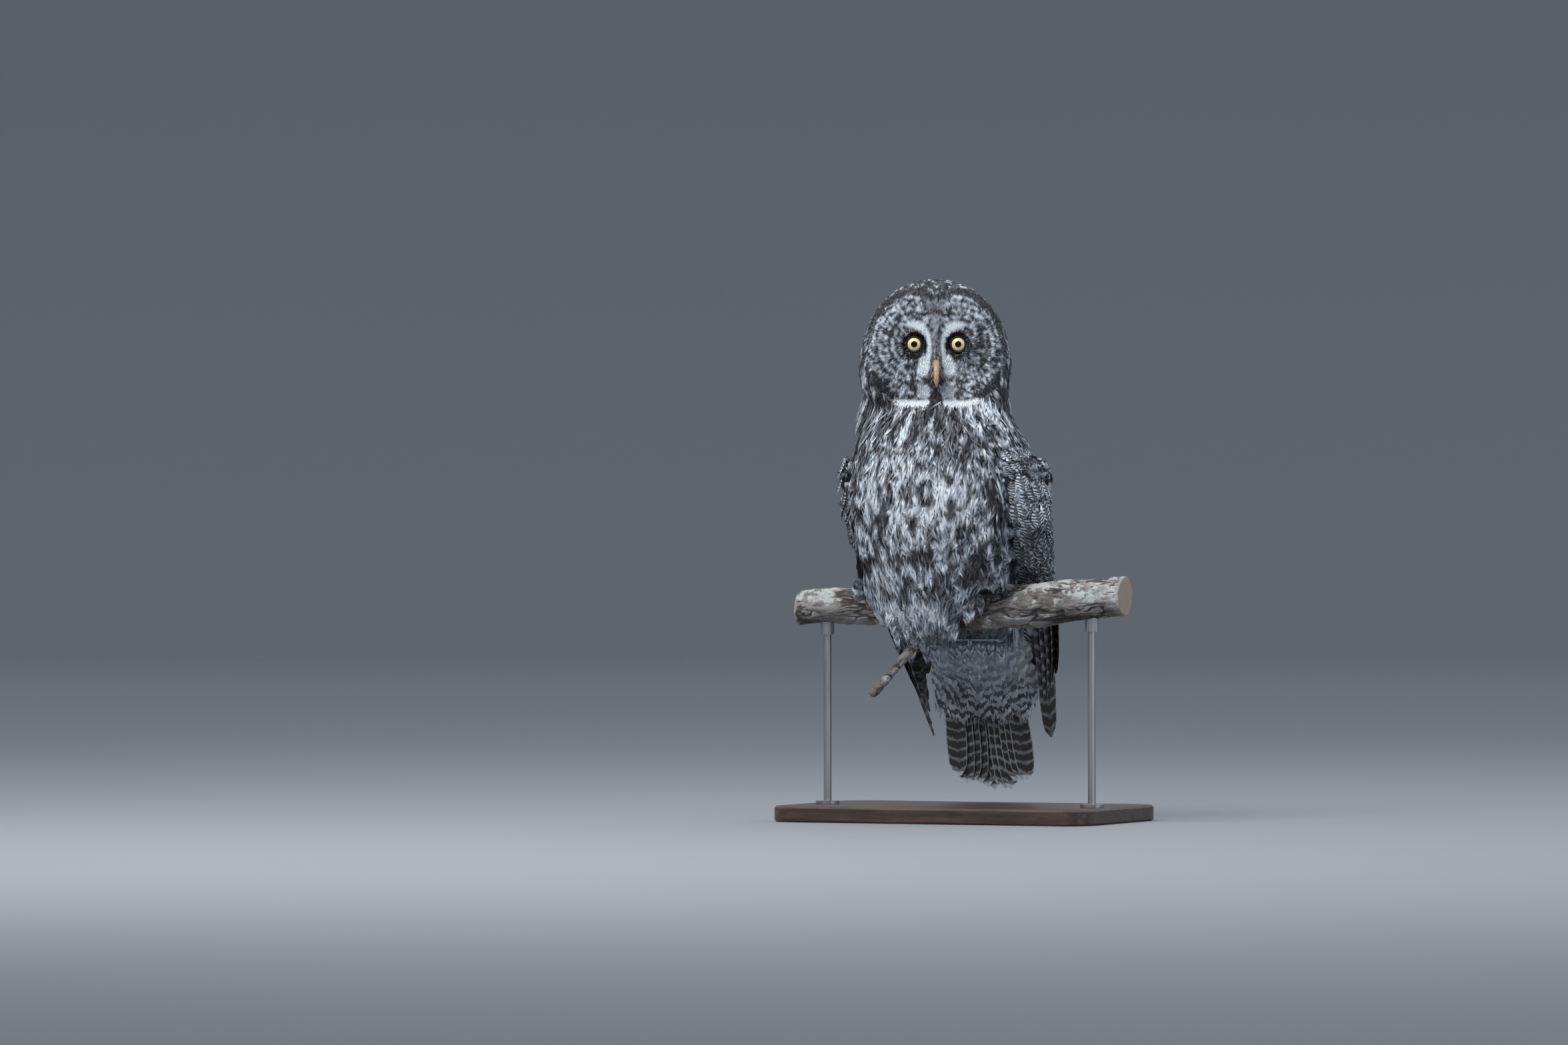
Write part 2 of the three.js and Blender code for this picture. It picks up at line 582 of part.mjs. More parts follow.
let head = form.intersect(ranged(headCutZ + gap / 2, crownZ + 60));
head = head.subtract(mandible(upperBill, gap)).subtract(mandible(lowerBill, gap));
for (const [name, side] of [["right", -1], ["left", 1]]) {
  const lid = eyelid(side).subtract(eyeball(side, gap));
  head = head.subtract(eyeball(side, gap)).subtract(eyelid(side, gap));
  bird.add(piece(`eye_${name}`, eyeball(side), iris));
  bird.add(piece(`eyelid_${name}`, lid, darkHorn));
}
bird.add(piece("head", head, faceFeathers));
const cere = mandible(upperBill).subtract(nostril(-1)).subtract(nostril(1));
bird.add(piece("bill_upper", cere.subtract(mandible(lowerBill, gap)), horn));
bird.add(piece("bill_lower", mandible(lowerBill), horn));

for (const [name, side] of [["right", -1], ["left", 1]]) {
  bird.add(piece(`wing_${name}`, wingSolid(side), flightFeathers));
  bird.add(piece(`leg_${name}`, legSolid(side).subtract(woodSpace), plumage));
  for (const toe of toes) {
    const claw = clawSolid(side, toe).subtract(toeSolid(side, toe, gap)).subtract(woodSpace);
    bird.add(piece(`claw_${name}_${toe.name}`, claw, darkHorn));
  }
}
bird.add(piece("tail", tailSolid(), flightFeathers));

perch.add(piece("stand_base", baseSolid(), stainedWood));
rod.x.forEach((x, i) => perch.add(piece(`stand_rod_${["right", "left"][i]}`, rodSolid(x).subtract(woodSpace), steel)));

export default owl;
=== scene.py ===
import math

import bmesh
import bpy
import numpy as np
from mathutils import Matrix, Vector, noise
from mathutils.bvhtree import BVHTree


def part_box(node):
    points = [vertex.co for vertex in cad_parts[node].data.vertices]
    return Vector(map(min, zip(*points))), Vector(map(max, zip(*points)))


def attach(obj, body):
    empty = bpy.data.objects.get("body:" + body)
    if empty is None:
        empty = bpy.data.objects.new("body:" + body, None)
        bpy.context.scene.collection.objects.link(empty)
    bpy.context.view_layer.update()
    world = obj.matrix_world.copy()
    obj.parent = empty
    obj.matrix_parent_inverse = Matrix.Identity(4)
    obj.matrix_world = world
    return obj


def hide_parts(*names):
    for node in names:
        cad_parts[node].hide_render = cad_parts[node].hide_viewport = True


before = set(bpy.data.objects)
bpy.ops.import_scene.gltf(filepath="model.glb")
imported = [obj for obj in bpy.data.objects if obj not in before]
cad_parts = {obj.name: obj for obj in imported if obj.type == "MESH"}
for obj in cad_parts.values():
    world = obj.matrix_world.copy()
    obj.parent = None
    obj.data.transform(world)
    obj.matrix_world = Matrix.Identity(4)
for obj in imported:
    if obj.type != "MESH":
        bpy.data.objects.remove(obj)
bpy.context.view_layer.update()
rng = np.random.default_rng(41)
mm = 0.001


# Small shader kit: a wrapped socket, so that maths on it adds Math nodes
class Sock:
    def __init__(self, kit, socket):
        self.kit = kit
        self.socket = socket

    def out(self, number):
        return Sock(self.kit, self.socket.node.outputs[number])

    def op(self, operation, *others):
        return self.kit.add("ShaderNodeMath", {"operation": operation}, [self, *others])

    def __add__(self, other):
        return self.op("ADD", other)

    def __sub__(self, other):
        return self.op("SUBTRACT", other)

    def __mul__(self, other):
        return self.op("MULTIPLY", other)

    def __truediv__(self, other):
        return self.op("DIVIDE", other)

    def __rsub__(self, other):
        return self.kit.add("ShaderNodeMath", {"operation": "SUBTRACT"}, [other, self])

    __radd__ = __add__
    __rmul__ = __mul__

    def clamped(self):
        return self.kit.add("ShaderNodeClamp", {}, [self])

    def step(self, low, high):
        smooth = {"interpolation_type": "SMOOTHSTEP"}
        return self.kit.add("ShaderNodeMapRange", smooth, [self, low, high, 0.0, 1.0])


class Kit:
    def __init__(self, name):
        self.material = bpy.data.materials.new(name)
        self.material.use_nodes = True
        self.nodes = self.material.node_tree.nodes
        self.links = self.material.node_tree.links
        self.shader = self.nodes["Principled BSDF"]

    def plug(self, socket, value):
        if isinstance(value, Sock):
            self.links.new(value.socket, socket)
        elif value is not None:
            socket.default_value = value

    def add(self, kind, settings=None, values=(), out=0):
        node = self.nodes.new(kind)
        for key, value in (settings or {}).items():
            setattr(node, key, value)
        pairs = values.items() if isinstance(values, dict) else enumerate(values)
        for key, value in pairs:
            self.plug(node.inputs[key], value)
        return Sock(self, node.outputs[out])

    def mix(self, amount, a, b):
        node = self.nodes.new("ShaderNodeMix")
        node.data_type = "RGBA"
        for index, value in ((0, amount), (6, a), (7, b)):
            value = (*value, 1) if isinstance(value, tuple) and len(value) == 3 else value
            self.plug(node.inputs[index], value)
        return Sock(self, node.outputs[2])

    def place(self, scale=(1, 1, 1)):
        return self.add("ShaderNodeMapping", {}, {"Vector": self.coords(), "Scale": scale})

    def attribute(self, name, out=0):
        return self.add("ShaderNodeAttribute", {"attribute_name": name}, out=out)

    def coords(self):
        return self.add("ShaderNodeTexCoord", out="Object")

    def noise(self, scale, detail=4.0, vector=None, distortion=0.0, rough=0.55):
        values = {"Vector": vector or self.coords(), "Scale": scale, "Detail": detail}
        return self.add("ShaderNodeTexNoise", {}, {**values, "Distortion": distortion, "Roughness": rough})

    def bump(self, height, strength, distance):
        node = {"Height": height, "Strength": strength, "Distance": distance}
        self.plug(self.shader.inputs["Normal"], self.add("ShaderNodeBump", {}, node))

    def finish(self, **values):
        for key, value in values.items():
            self.plug(self.shader.inputs[key.replace("_", " ")], value)
        return self.material


# The camera stands where the photo was taken: level, 24 degrees to the owl's left, far away
view = {
    "turn": math.radians(24), "pixel": 0.84 * mm, "photoWide": 2352, "photoHigh": 1568, "floorRow": 1232.7,
    "middleColumn": 1421.3, "lens": 200, "sensor": 36,
}
turnCos, turnSin = math.cos(view["turn"]), math.sin(view["turn"])
towardCamera = np.array([turnSin, -turnCos, 0.0])
toRight = np.array([turnCos, turnSin, 0.0])


def addCamera():
    across = (view["photoWide"] / 2 - view["middleColumn"]) * view["pixel"]
    height = (view["floorRow"] - view["photoHigh"] / 2) * view["pixel"]
    distance = view["photoWide"] * view["pixel"] * view["lens"] / view["sensor"]
    data = bpy.data.cameras.new("photoCamera")
    data.lens, data.sensor_width, data.clip_end = view["lens"], view["sensor"], 100
    camera = bpy.data.objects.new("photoCamera", data)
    camera.location = Vector(toRight * across + towardCamera * distance) + Vector((0, 0, height))
    camera.rotation_euler = (math.pi / 2, 0, view["turn"])
    bpy.context.collection.objects.link(camera)
    bpy.context.scene.camera = camera


# Soft studio light: a pale room, a broad key from the camera's upper left, and a weaker fill
lights = {
    "room": 0.58, "roomColour": (0.86, 0.92, 1.0),
    "key": (90, 2.0, (-35, 48), (1.0, 0.99, 0.97)), "fill": (16, 3.0, (60, 20), (0.88, 0.94, 1.0)),
    "top": (20, 2.4, (150, 65), (0.95, 0.98, 1.0)), "distance": 3.0,
}


def addLights():
    world = bpy.data.worlds.new("room")
    bpy.context.scene.world = world
    world.use_nodes = True
    background = world.node_tree.nodes["Background"]
    background.inputs[0].default_value = (*lights["roomColour"], 1)
    background.inputs[1].default_value = lights["room"]
    middle = Vector((0, 0, 0.4))
    for name in ("key", "fill", "top"):
        watts, size, (azimuth, rise), colour = lights[name]
        data = bpy.data.lights.new(name, "AREA")
        data.energy, data.size, data.color = watts, size, colour
        lamp = bpy.data.objects.new(name, data)
        about, up = math.radians(azimuth) + view["turn"], math.radians(rise)
        aim = Vector((math.sin(about) * math.cos(up), -math.cos(about) * math.cos(up), math.sin(up)))
        lamp.location = middle + aim * lights["distance"]
        lamp.rotation_euler = aim.to_track_quat("Z", "Y").to_euler()
        bpy.context.collection.objects.link(lamp)
    bpy.context.scene.view_settings.view_transform = "Standard"
    print("lights and camera set")


# A wide bowl of plain paper all round, whose rim stays out of every view
studio = {
    "flat": 13.0, "curve": 3.0, "high": 4.5, "sides": 96, "steps": 8, "colour": (0.27, 0.285, 0.31),
    "mottle": (0.24, 0.25, 0.27),
}


def addStudio():
    bm = bmesh.new()
    profile = [(0.0, 0.0), (1.0, 0.0), (4.0, 0.0), (studio["flat"], 0.0)]
    for i in range(studio["steps"]):
        angle = math.pi / 2 * (i + 1) / studio["steps"]
        out, up = studio["curve"] * math.sin(angle), studio["curve"] * (1 - math.cos(angle))
        profile.append((studio["flat"] + out, up))
    profile.append((studio["flat"] + studio["curve"], studio["high"]))
    verts = [bm.verts.new((x, 0, z)) for x, z in profile]
    edges = [bm.edges.new(pair) for pair in zip(verts, verts[1:])]
    turn = {"cent": (0, 0, 0), "axis": (0, 0, 1), "angle": 2 * math.pi}
    bmesh.ops.spin(bm, geom=verts + edges, steps=studio["sides"], **turn)
    bmesh.ops.remove_doubles(bm, verts=bm.verts, dist=1e-5)
    bmesh.ops.recalc_face_normals(bm, faces=bm.faces)
    kit = Kit("studioPaper")
    grain = kit.noise(0.6, 3.0)
    colour = kit.mix(grain * 0.1, studio["colour"], studio["mottle"])
    floor = meshPiece("studioFloor", bm, kit.finish(Base_Color=colour, Roughness=0.9), smooth=True)


def meshPiece(name, bm, material, smooth=True):
    mesh = bpy.data.meshes.new(name)
    bm.to_mesh(mesh)
    bm.free()
    return linked(name, mesh, material, smooth)


def linked(name, mesh, material, smooth=True):
    mesh.materials.clear()
    mesh.materials.append(material)
    mesh.polygons.foreach_set("use_smooth", [smooth] * len(mesh.polygons))
    piece = bpy.data.objects.new(name, mesh)
    bpy.context.collection.objects.link(piece)
    return piece


# A closed smooth mesh remade from copies of CAD nodes. cut gives heights below which nodes are cut off,
# and hull wraps each in its convex hull
def remade(nodes, voxel, smooths, cut=None, hull=False):
    bm = bmesh.new()
    for node in nodes:
        part = bmesh.new()
        part.from_mesh(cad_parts[node].data)
        bmesh.ops.remove_doubles(part, verts=part.verts, dist=1e-6)
        if cut and node in cut:
            geometry = part.verts[:] + part.edges[:] + part.faces[:]
            plane = {"plane_co": (0, 0, cut[node]), "plane_no": (0, 0, -1), "clear_outer": True}
            sliced = bmesh.ops.bisect_plane(part, geom=geometry, **plane)
            rim = [item for item in sliced["geom_cut"] if isinstance(item, bmesh.types.BMEdge)]
            bmesh.ops.holes_fill(part, edges=rim)
        if hull:
            wrapped = bmesh.ops.convex_hull(part, input=part.verts)
            loose = {item for key in ("geom_interior", "geom_unused") for item in wrapped[key]}
            inner = [item for item in loose if isinstance(item, bmesh.types.BMVert)]
            bmesh.ops.delete(part, geom=inner, context="VERTS")
            spare = [face for face in part.faces if face not in set(wrapped["geom"])]
            bmesh.ops.delete(part, geom=spare, context="FACES_ONLY")
        mesh = bpy.data.meshes.new("part")
        part.to_mesh(mesh)
        part.free()
        bm.from_mesh(mesh)
        bpy.data.meshes.remove(mesh)
    mesh = bpy.data.meshes.new("remade")
    bm.to_mesh(mesh)
    bm.free()
    holder = bpy.data.objects.new("remade", mesh)
    bpy.context.collection.objects.link(holder)
    remesh = holder.modifiers.new("remesh", "REMESH")
    remesh.mode, remesh.voxel_size = "VOXEL", voxel
    if smooths:
        relax = holder.modifiers.new("relax", "SMOOTH")
        relax.factor, relax.iterations = 0.5, smooths
    graph = bpy.context.evaluated_depsgraph_get()
    done = bpy.data.meshes.new_from_object(holder.evaluated_get(graph))
    bpy.data.objects.remove(holder)
    return done


def meshArrays(mesh):
    places = np.empty(len(mesh.vertices) * 3)
    normals = np.empty(len(mesh.vertices) * 3)
    mesh.vertices.foreach_get("co", places)
    mesh.vertices.foreach_get("normal", normals)
    return places.reshape(-1, 3), normals.reshape(-1, 3)


# Where a place lies in the head's own frame: across to the owl's left, forward out of the face, and up
head = {"middle": np.array([-10, -16, 600]) * mm, "eyeApart": 27.6 * mm}


def inHead(places):
    q = places - head["middle"]
    across = q[..., 0] * turnCos + q[..., 1] * turnSin
    forward = q[..., 0] * turnSin - q[..., 1] * turnCos
    return across, forward, q[..., 2]


def smoothstep(x, low, high):
    t = np.clip((x - low) / (high - low), 0, 1)
    return t * t * (3 - 2 * t)


def gridNoise(places, size, seed=0):
    # smooth noise over a lattice of random values, from about -1 to 1
    wide = 32
    lattice = np.random.default_rng(seed).uniform(-1.5, 1.5, (wide, wide, wide))
    q = np.asarray(places) / size + 200
    cell = np.floor(q).astype(int)
    f = q - cell
    f = f * f * (3 - 2 * f)
    total = 0
    for corner in [(i, j, k) for i in (0, 1) for j in (0, 1) for k in (0, 1)]:
        weight = np.prod(np.where(corner, f, 1 - f), axis=-1)
        i, j, k = ((cell[..., axis] + corner[axis]) % wide for axis in range(3))
        total = total + weight * lattice[i, j, k]
    return total


# Skin: one form under all the plumage, remade from the flesh nodes and drawn in by the coat's depth
skin = {
    "voxel": 3.0 * mm, "smooths": 5, "inside": 3.5 * mm, "wingCut": 232 * mm, "neck": 535 * mm,
    "soot": (0.02, 0.02, 0.024),
}
paleDown = np.array([0.76, 0.83, 0.93])
darkDown = np.array([0.010, 0.011, 0.015])
# tones may go above 1, where white marks are lifted by painted light
brightest = 1.25


def addSkin():
    nodes = ["torso", "neck", "head", "wing_right", "wing_left", "leg_right", "leg_left"]
    cut = dict.fromkeys(("wing_right", "wing_left"), skin["wingCut"])
    mesh = remade(nodes, skin["voxel"], skin["smooths"], cut)
    places, normals = meshArrays(mesh)
    drawn = places - normals * skin["inside"]
    mesh.vertices.foreach_set("co", drawn.ravel())
    colour = mesh.attributes.new("shade", "FLOAT_COLOR", "POINT")
    tone = np.where(drawn[:, 2] > skin["neck"], crownTones(drawn), bodyTones(drawn))
    tone = np.where(faceShare(drawn) < 1.02, faceBrightness(drawn), tone)[:, None]
    shade = darkDown + (paleDown - darkDown) * np.clip(tone, 0, 1)
    rgba = np.concatenate([shade, np.ones((len(tone), 1))], axis=1)
    colour.data.foreach_set("color", rgba.ravel())
    kit = Kit("downSkin")
    grain = kit.noise(900.0, 3.0)
    shade = kit.mix(grain * 0.5, kit.attribute("shade"), skin["soot"])
    kit.bump(grain, 0.5, 0.001)
    piece = linked("owlSkin", mesh, kit.finish(Base_Color=shade, Roughness=0.92))
    print("skin made:", len(mesh.vertices), "points")
    return piece


# The face's markings, in millimetres across and up from the point between the eyes
faceMarks = {
    "sideReach": 57, "upReach": 67, "downReach": 77, "ring": 8.0,
    "brow": [(38, 24), (28, 24.5), (18.5, 20.5), (12.5, 11), (10, 0), (11, -11), (14.5, -21), (17, -33)],
    "browWidth": [1.0, 3.6, 5.0, 4.8, 4.2, 4.8, 6.6, 7.0],
    "lash": [(13.5, -12), (13.2, -2), (15.5, 7), (21, 12.5), (30, 15), (41, 17)],
    "lashWidth": [1.5, 2.6, 3.0, 3.0, 2.0, 0.6],
    "rimTop": [(5, 60), (20, 66.5), (38, 65.5), (52, 59), (66, 48), (77, 32), (84, 10), (85, -12)],
    "rimWidth": [5.4, 5.2, 5.0, 4.8, 4.4, 3.8, 2.8, 1.4],
    "crescent": [(79, -34), (74, -45), (66, -56), (57, -63.5), (46, -68)],
    "crescentWidth": [2.0, 5.8, 6.6, 5.2, 2.0],
    "lore": (15, -59), "loreWidth": 10,
    "bow": [(11, -74), (22, -75), (36, -75), (50, -71.5)], "bowWidth": 4.0,
    "chin": [(0, -54), (0, -66), (0, -76)], "chinWidth": [3.5, 7.5, 9.0],
}

# How bright each marking is, from 0 for brown black to 1 for white. The white of the brows and bow tie goes
# above 1: their real white plus painted light that makes up for the shade on them
faceTones = {
    "ground": 0.23, "rings": 0.27, "mottle": 0.78, "patches": 0.09, "upper": 0.07, "streak": 0.24,
    "crown": 0.12, "lore": 0.55, "besideBill": 0.08, "socket": 0.13, "whiteWithLight": 1.22, "lash": 0.01, "rim": 0.02,
}


def lineDistance(x, y, points, widths):
    # how far a place is from a line of points, less the line's own half width there
    best = np.full(np.shape(x), 1e3)
    widths = widths if isinstance(widths, list) else [widths] * len(points)
    for (ax, ay), (bx, by), wa, wb in zip(points, points[1:], widths, widths[1:]):
        dx, dy = bx - ax, by - ay
        t = np.clip(((x - ax) * dx + (y - ay) * dy) / (dx * dx + dy * dy), 0, 1)
        best = np.minimum(best, np.hypot(x - ax - t * dx, y - ay - t * dy) - (wa + (wb - wa) * t))
    return best


def faceShare(places):
    # 0 at the eyes, 1 on the rim of the facial disc, large behind the face
    across, forward, up = (value / mm for value in inHead(places))
    eyeApart = head["eyeApart"] / mm
    side = np.abs(across) - eyeApart
    reach = np.where(up > 0, faceMarks["upReach"], faceMarks["downReach"])
    share = np.hypot(np.where(side > 0, side / faceMarks["sideReach"], side / 60), up / reach)
    return np.where(forward < 18, 3.0, share)


def faceBrightness(places):
    across, _, y = (value / mm for value in inHead(places))
    x = np.abs(across)
    eyeApart, level = head["eyeApart"] / mm, faceTones
    fromEye = np.hypot(x - eyeApart, y * 0.97)
    wander = 1.7 * gridNoise(places, 0.013, 11) + 0.8 * gridNoise(places, 0.005, 12)
    rings = np.sin((fromEye + wander) * 2 * math.pi / faceMarks["ring"])
    mottle = 0.62 * gridNoise(places, 0.0038, 13) + 0.45 * gridNoise(places, 0.0021, 14)
    patches = gridNoise(places, 0.017, 15)

    def marked(name, width, edge):
        return 1 - smoothstep(lineDistance(x, y, faceMarks[name], width) + 1.2 * mottle, -edge, edge)

    fade = smoothstep(fromEye, 13, 24) * (0.55 + 0.45 * smoothstep(y, -30, 10))
    tone = level["ground"] + level["rings"] * rings * fade + level["mottle"] * mottle
    tone = tone + level["patches"] * patches + level["upper"] * smoothstep(y, 10, 50)
    high = np.clip(y, 0, 60)
    streak = 1 - smoothstep(x + 2 * gridNoise(places, 0.008, 16), 5 + 0.10 * high, 10 + 0.12 * high)
    tone = blend(tone, level["streak"] + 0.30 * mottle, streak * (y > -40) * 0.9)
    crownDown = 1 - smoothstep(x - 0.95 * (y - 53) + 3 * mottle, -2, 2)
    tone = blend(tone, level["crown"] + 0.75 * np.clip(mottle, 0, 1), crownDown)
    fromLore = np.hypot(x - faceMarks["lore"][0], y - faceMarks["lore"][1]) + 2 * mottle
    tone = blend(tone, level["lore"] + 0.2 * mottle, 1 - smoothstep(fromLore, 5, faceMarks["loreWidth"] + 2))
    beside = 1 - smoothstep(np.hypot(x / 8.5, (y + 37) / 17), 0.7, 1.15)
    tone = blend(tone, level["besideBill"], beside * 0.92)
    inner = np.clip((eyeApart - x) / 12, -1, 1)
    socket = fromEye + 1.2 * mottle - (14.5 + 2.0 * inner - 1.2 * np.clip(-y / 10, 0, 1))
    tone = blend(tone, level["socket"] + 0.12 * mottle, 1 - smoothstep(socket, -2.0, 5.0))
    # the white brows, lifted above white by painted light
    tone = blend(tone, level["whiteWithLight"] + 0.2 * mottle, marked("brow", faceMarks["browWidth"], 1.7))
    tone = blend(tone, 0.0, 1 - smoothstep(fromEye - 10.8 - 1.6 * np.clip(inner, 0, 1), -0.8, 1.2))
    tone = blend(tone, level["lash"], marked("lash", faceMarks["lashWidth"], 1.3))
    rim = level["rim"] + 0.1 * np.clip(mottle, 0, 1)
    tone = blend(tone, rim, marked("rimTop", faceMarks["rimWidth"], 1.6))
    tone = blend(tone, 0.0, marked("crescent", faceMarks["crescentWidth"], 1.5))
    # the white bow tie under the chin, lifted above white by painted light where it faces down
    tone = blend(tone, level["whiteWithLight"], marked("bow", faceMarks["bowWidth"], 1.3))
    tone = blend(tone, 0.0, marked("chin", faceMarks["chinWidth"], 1.8))
    return np.clip(tone, 0, brightest)


def blend(under, over, mask):
    return under + (over - under) * mask


def gridFaces(rays, rows):
    starts = [r * rays + i for r in range(rows - 1) for i in range(rays - 1)]
    return [(a, a + 1, a + rays + 1, a + rays) for a in starts]


# Feathers: a fan of rays from the quill, ending in one point between each two rays
def fanTemplate(rays, rows, tipSpread=0.92):
    c = np.linspace(-1, 1, rays)
    points = [(ray, row) for row in rows for ray in c]
    apexes = [((c[i] + c[i + 1]) / 2 * tipSpread, 1.0) for i in range(rays - 1)]
    faces = gridFaces(rays, len(rows))
    last = (len(rows) - 1) * rays
    for i in range(rays - 1):
        faces.append((last + i, last + i + 1, len(points) + i))
    return np.array(points + apexes), faces


templates = {
    "broad": fanTemplate(11, (0.0, 0.3, 0.5, 0.66, 0.80)),
    "soft": fanTemplate(7, (0.0, 0.35, 0.62)),
    "fine": fanTemplate(4, (0.0, 0.5), 0.8),
    "round": fanTemplate(8, (0.0, 0.35, 0.65, 0.86, 0.96), 0.9),
}


def featherWidth(v):
    return np.interp(v, [0, 0.15, 0.4, 0.7, 0.9, 1], [0.22, 0.62, 0.95, 1, 0.88, 0.74])


def rotated(vectors, axes, angles):
    cosine, sine = np.cos(angles)[:, None], np.sin(angles)[:, None]
    return vectors * cosine + np.cross(axes, vectors) * sine


def unit(vectors):
    return vectors / np.maximum(np.linalg.norm(vectors, axis=-1, keepdims=True), 1e-9)


def bakeHome(places):
    # a cylinder's unwrap of the skin: turn about the body's axis, and height
    about = np.arctan2(places[..., 1], places[..., 0]) / (2 * math.pi) + 0.5
    return np.stack([0.01 + 0.97 * about, 0.01 + 0.97 * np.clip(places[..., 2] / 0.72, 0, 1)], axis=-1)


# How a single feather is shaped: shares of its length or half width
vane = {
    "tipCurve": 0.24, "cup": 0.16, "ragged": 0.045, "tipRagged": 0.06, "splay": 0.05, "stagger": 0.25 * mm,
    "longer": (0.82, 1.15), "wider": (0.85, 1.12), "steeper": (0.6, 1.4),
}


def styled(streaks, bars, count):
    # how strong streaks and bars are on each feather, and a seed
    return np.stack([streaks + np.zeros(count), bars + np.zeros(count), rng.random(count)], axis=1)


def coat(name, material, region, roots, normals, lies, tones, style=(0, 0, 0), toneAt=None, longer=1.0,
         wider=1.0, bend=None):
    # one feather at each root, of its region's kind and size, painted by place where toneAt is given
    count, size = len(roots), regions[region]
    grid, faces = templates[size["kind"]]
    u, v = grid[:, 0][None, :], grid[:, 1][None, :]
    each = (count, grid.shape[0])
    lies = unit(lies - normals * np.sum(lies * normals, axis=1, keepdims=True))
    lies = rotated(lies, normals, rng.normal(0, size["jitter"], count))
    aside = np.cross(normals, lies)
    scale = (size["long"] * mm * longer * rng.uniform(*vane["longer"], count))[:, None]
    wide = (size["half"] * mm * wider * rng.uniform(*vane["wider"], count))[:, None]
    ragged = 1 + rng.normal(0, vane["ragged"], each) * (v > 0.5)
    ragged = ragged + rng.normal(0, vane["tipRagged"], each) * (v > 0.95)
    y = scale * v * (1 - vane["tipCurve"] * u * u * v) * ragged
    x = wide * u * featherWidth(v) + rng.normal(0, vane["splay"], each) * wide * v
    rise = (size["lift"] * rng.uniform(*vane["steeper"], count))[:, None]
    radius = np.reshape(size["bend"] if bend is None else bend, (-1, 1))
    h = rise * y - vane["cup"] * wide * u * u * featherWidth(v)
    h = h - y * y / (2 * radius) - size["sink"] * mm * (1 - v) ** 2
    h = h + rng.normal(0, vane["stagger"], (count, 1))
    x, y, h = x[..., None], y[..., None], h[..., None]
    places = roots[:, None] + lies[:, None] * y + aside[:, None] * x + normals[:, None] * h
    tone = toneAt(places) + (tones[:, None] - 0.5) if toneAt else np.broadcast_to(tones[:, None], each)
    tone = np.clip(tone, 0, brightest)[..., None]
    shade = np.clip(darkDown + (paleDown - darkDown) * tone, 0, 0.97)
    style = np.broadcast_to(np.asarray(style, float), (count, 3))
    home = bakeHome(roots)[:, None] + np.stack([u * 0.0014, v * 0.0028 - 0.0014], axis=-1)
    feather = np.broadcast_to(np.stack([u * 0.5 + 0.5, v], axis=-1), (*each, 2))
    return featherMesh(name, material, places, faces, shade, style, feather, home)


def featherMesh(name, material, places, faces, shade, style, feather, home):
    count, each = places.shape[:2]
    starts, corners = [], []
    for face in faces:
        starts.append(len(corners))
        corners.extend(face)
    corners, starts = np.array(corners), np.array(starts)
    loops = (np.arange(count)[:, None] * each + corners).ravel()
    loopStarts = (np.arange(count)[:, None] * len(corners) + starts).ravel()
    mesh = bpy.data.meshes.new(name)
    mesh.vertices.add(count * each)
    mesh.vertices.foreach_set("co", places.ravel())
    mesh.loops.add(len(loops))
    mesh.loops.foreach_set("vertex_index", loops)
    mesh.polygons.add(len(loopStarts))
    mesh.polygons.foreach_set("loop_start", loopStarts)
    mesh.update(calc_edges=True)
    for label, values in (("feather", feather), ("OFBake", home)):
        layer = mesh.uv_layers.new(name=label)
        layer.data.foreach_set("uv", np.broadcast_to(values, (count, each, 2)).reshape(-1, 2)[loops].ravel())
    for label, values in (("shade", shade), ("style", np.broadcast_to(style[:, None], (count, each, 3)))):
        layer = mesh.attributes.new(label, "FLOAT_COLOR", "POINT")
        rgba = np.concatenate([np.broadcast_to(values, (count, each, 3)), np.ones((count, each, 1))], axis=2)
        layer.data.foreach_set("color", rgba.ravel())
    mesh.validate()
    triangles = sum(len(face) - 2 for face in faces) * count
    print("coat", name, count, "feathers,", triangles, "triangles")
    return linked(name, mesh, material)


# Feather finish: the shade attribute is the ground, style says how strong streak and bars are, and a seed.
# cover widens the bars, tip and edge paint the vane's end and sides, fleck is how strong the dark flecks are
feathering = {
    "dark": (0.010, 0.010, 0.013), "streak": 0.40, "bars": 4.2, "barbs": 24.0, "cover": 0.0, "tip": None,
    "edge": 0.0, "fleck": 1.0, "flecks": (0.05, 0.055, 0.07),
}


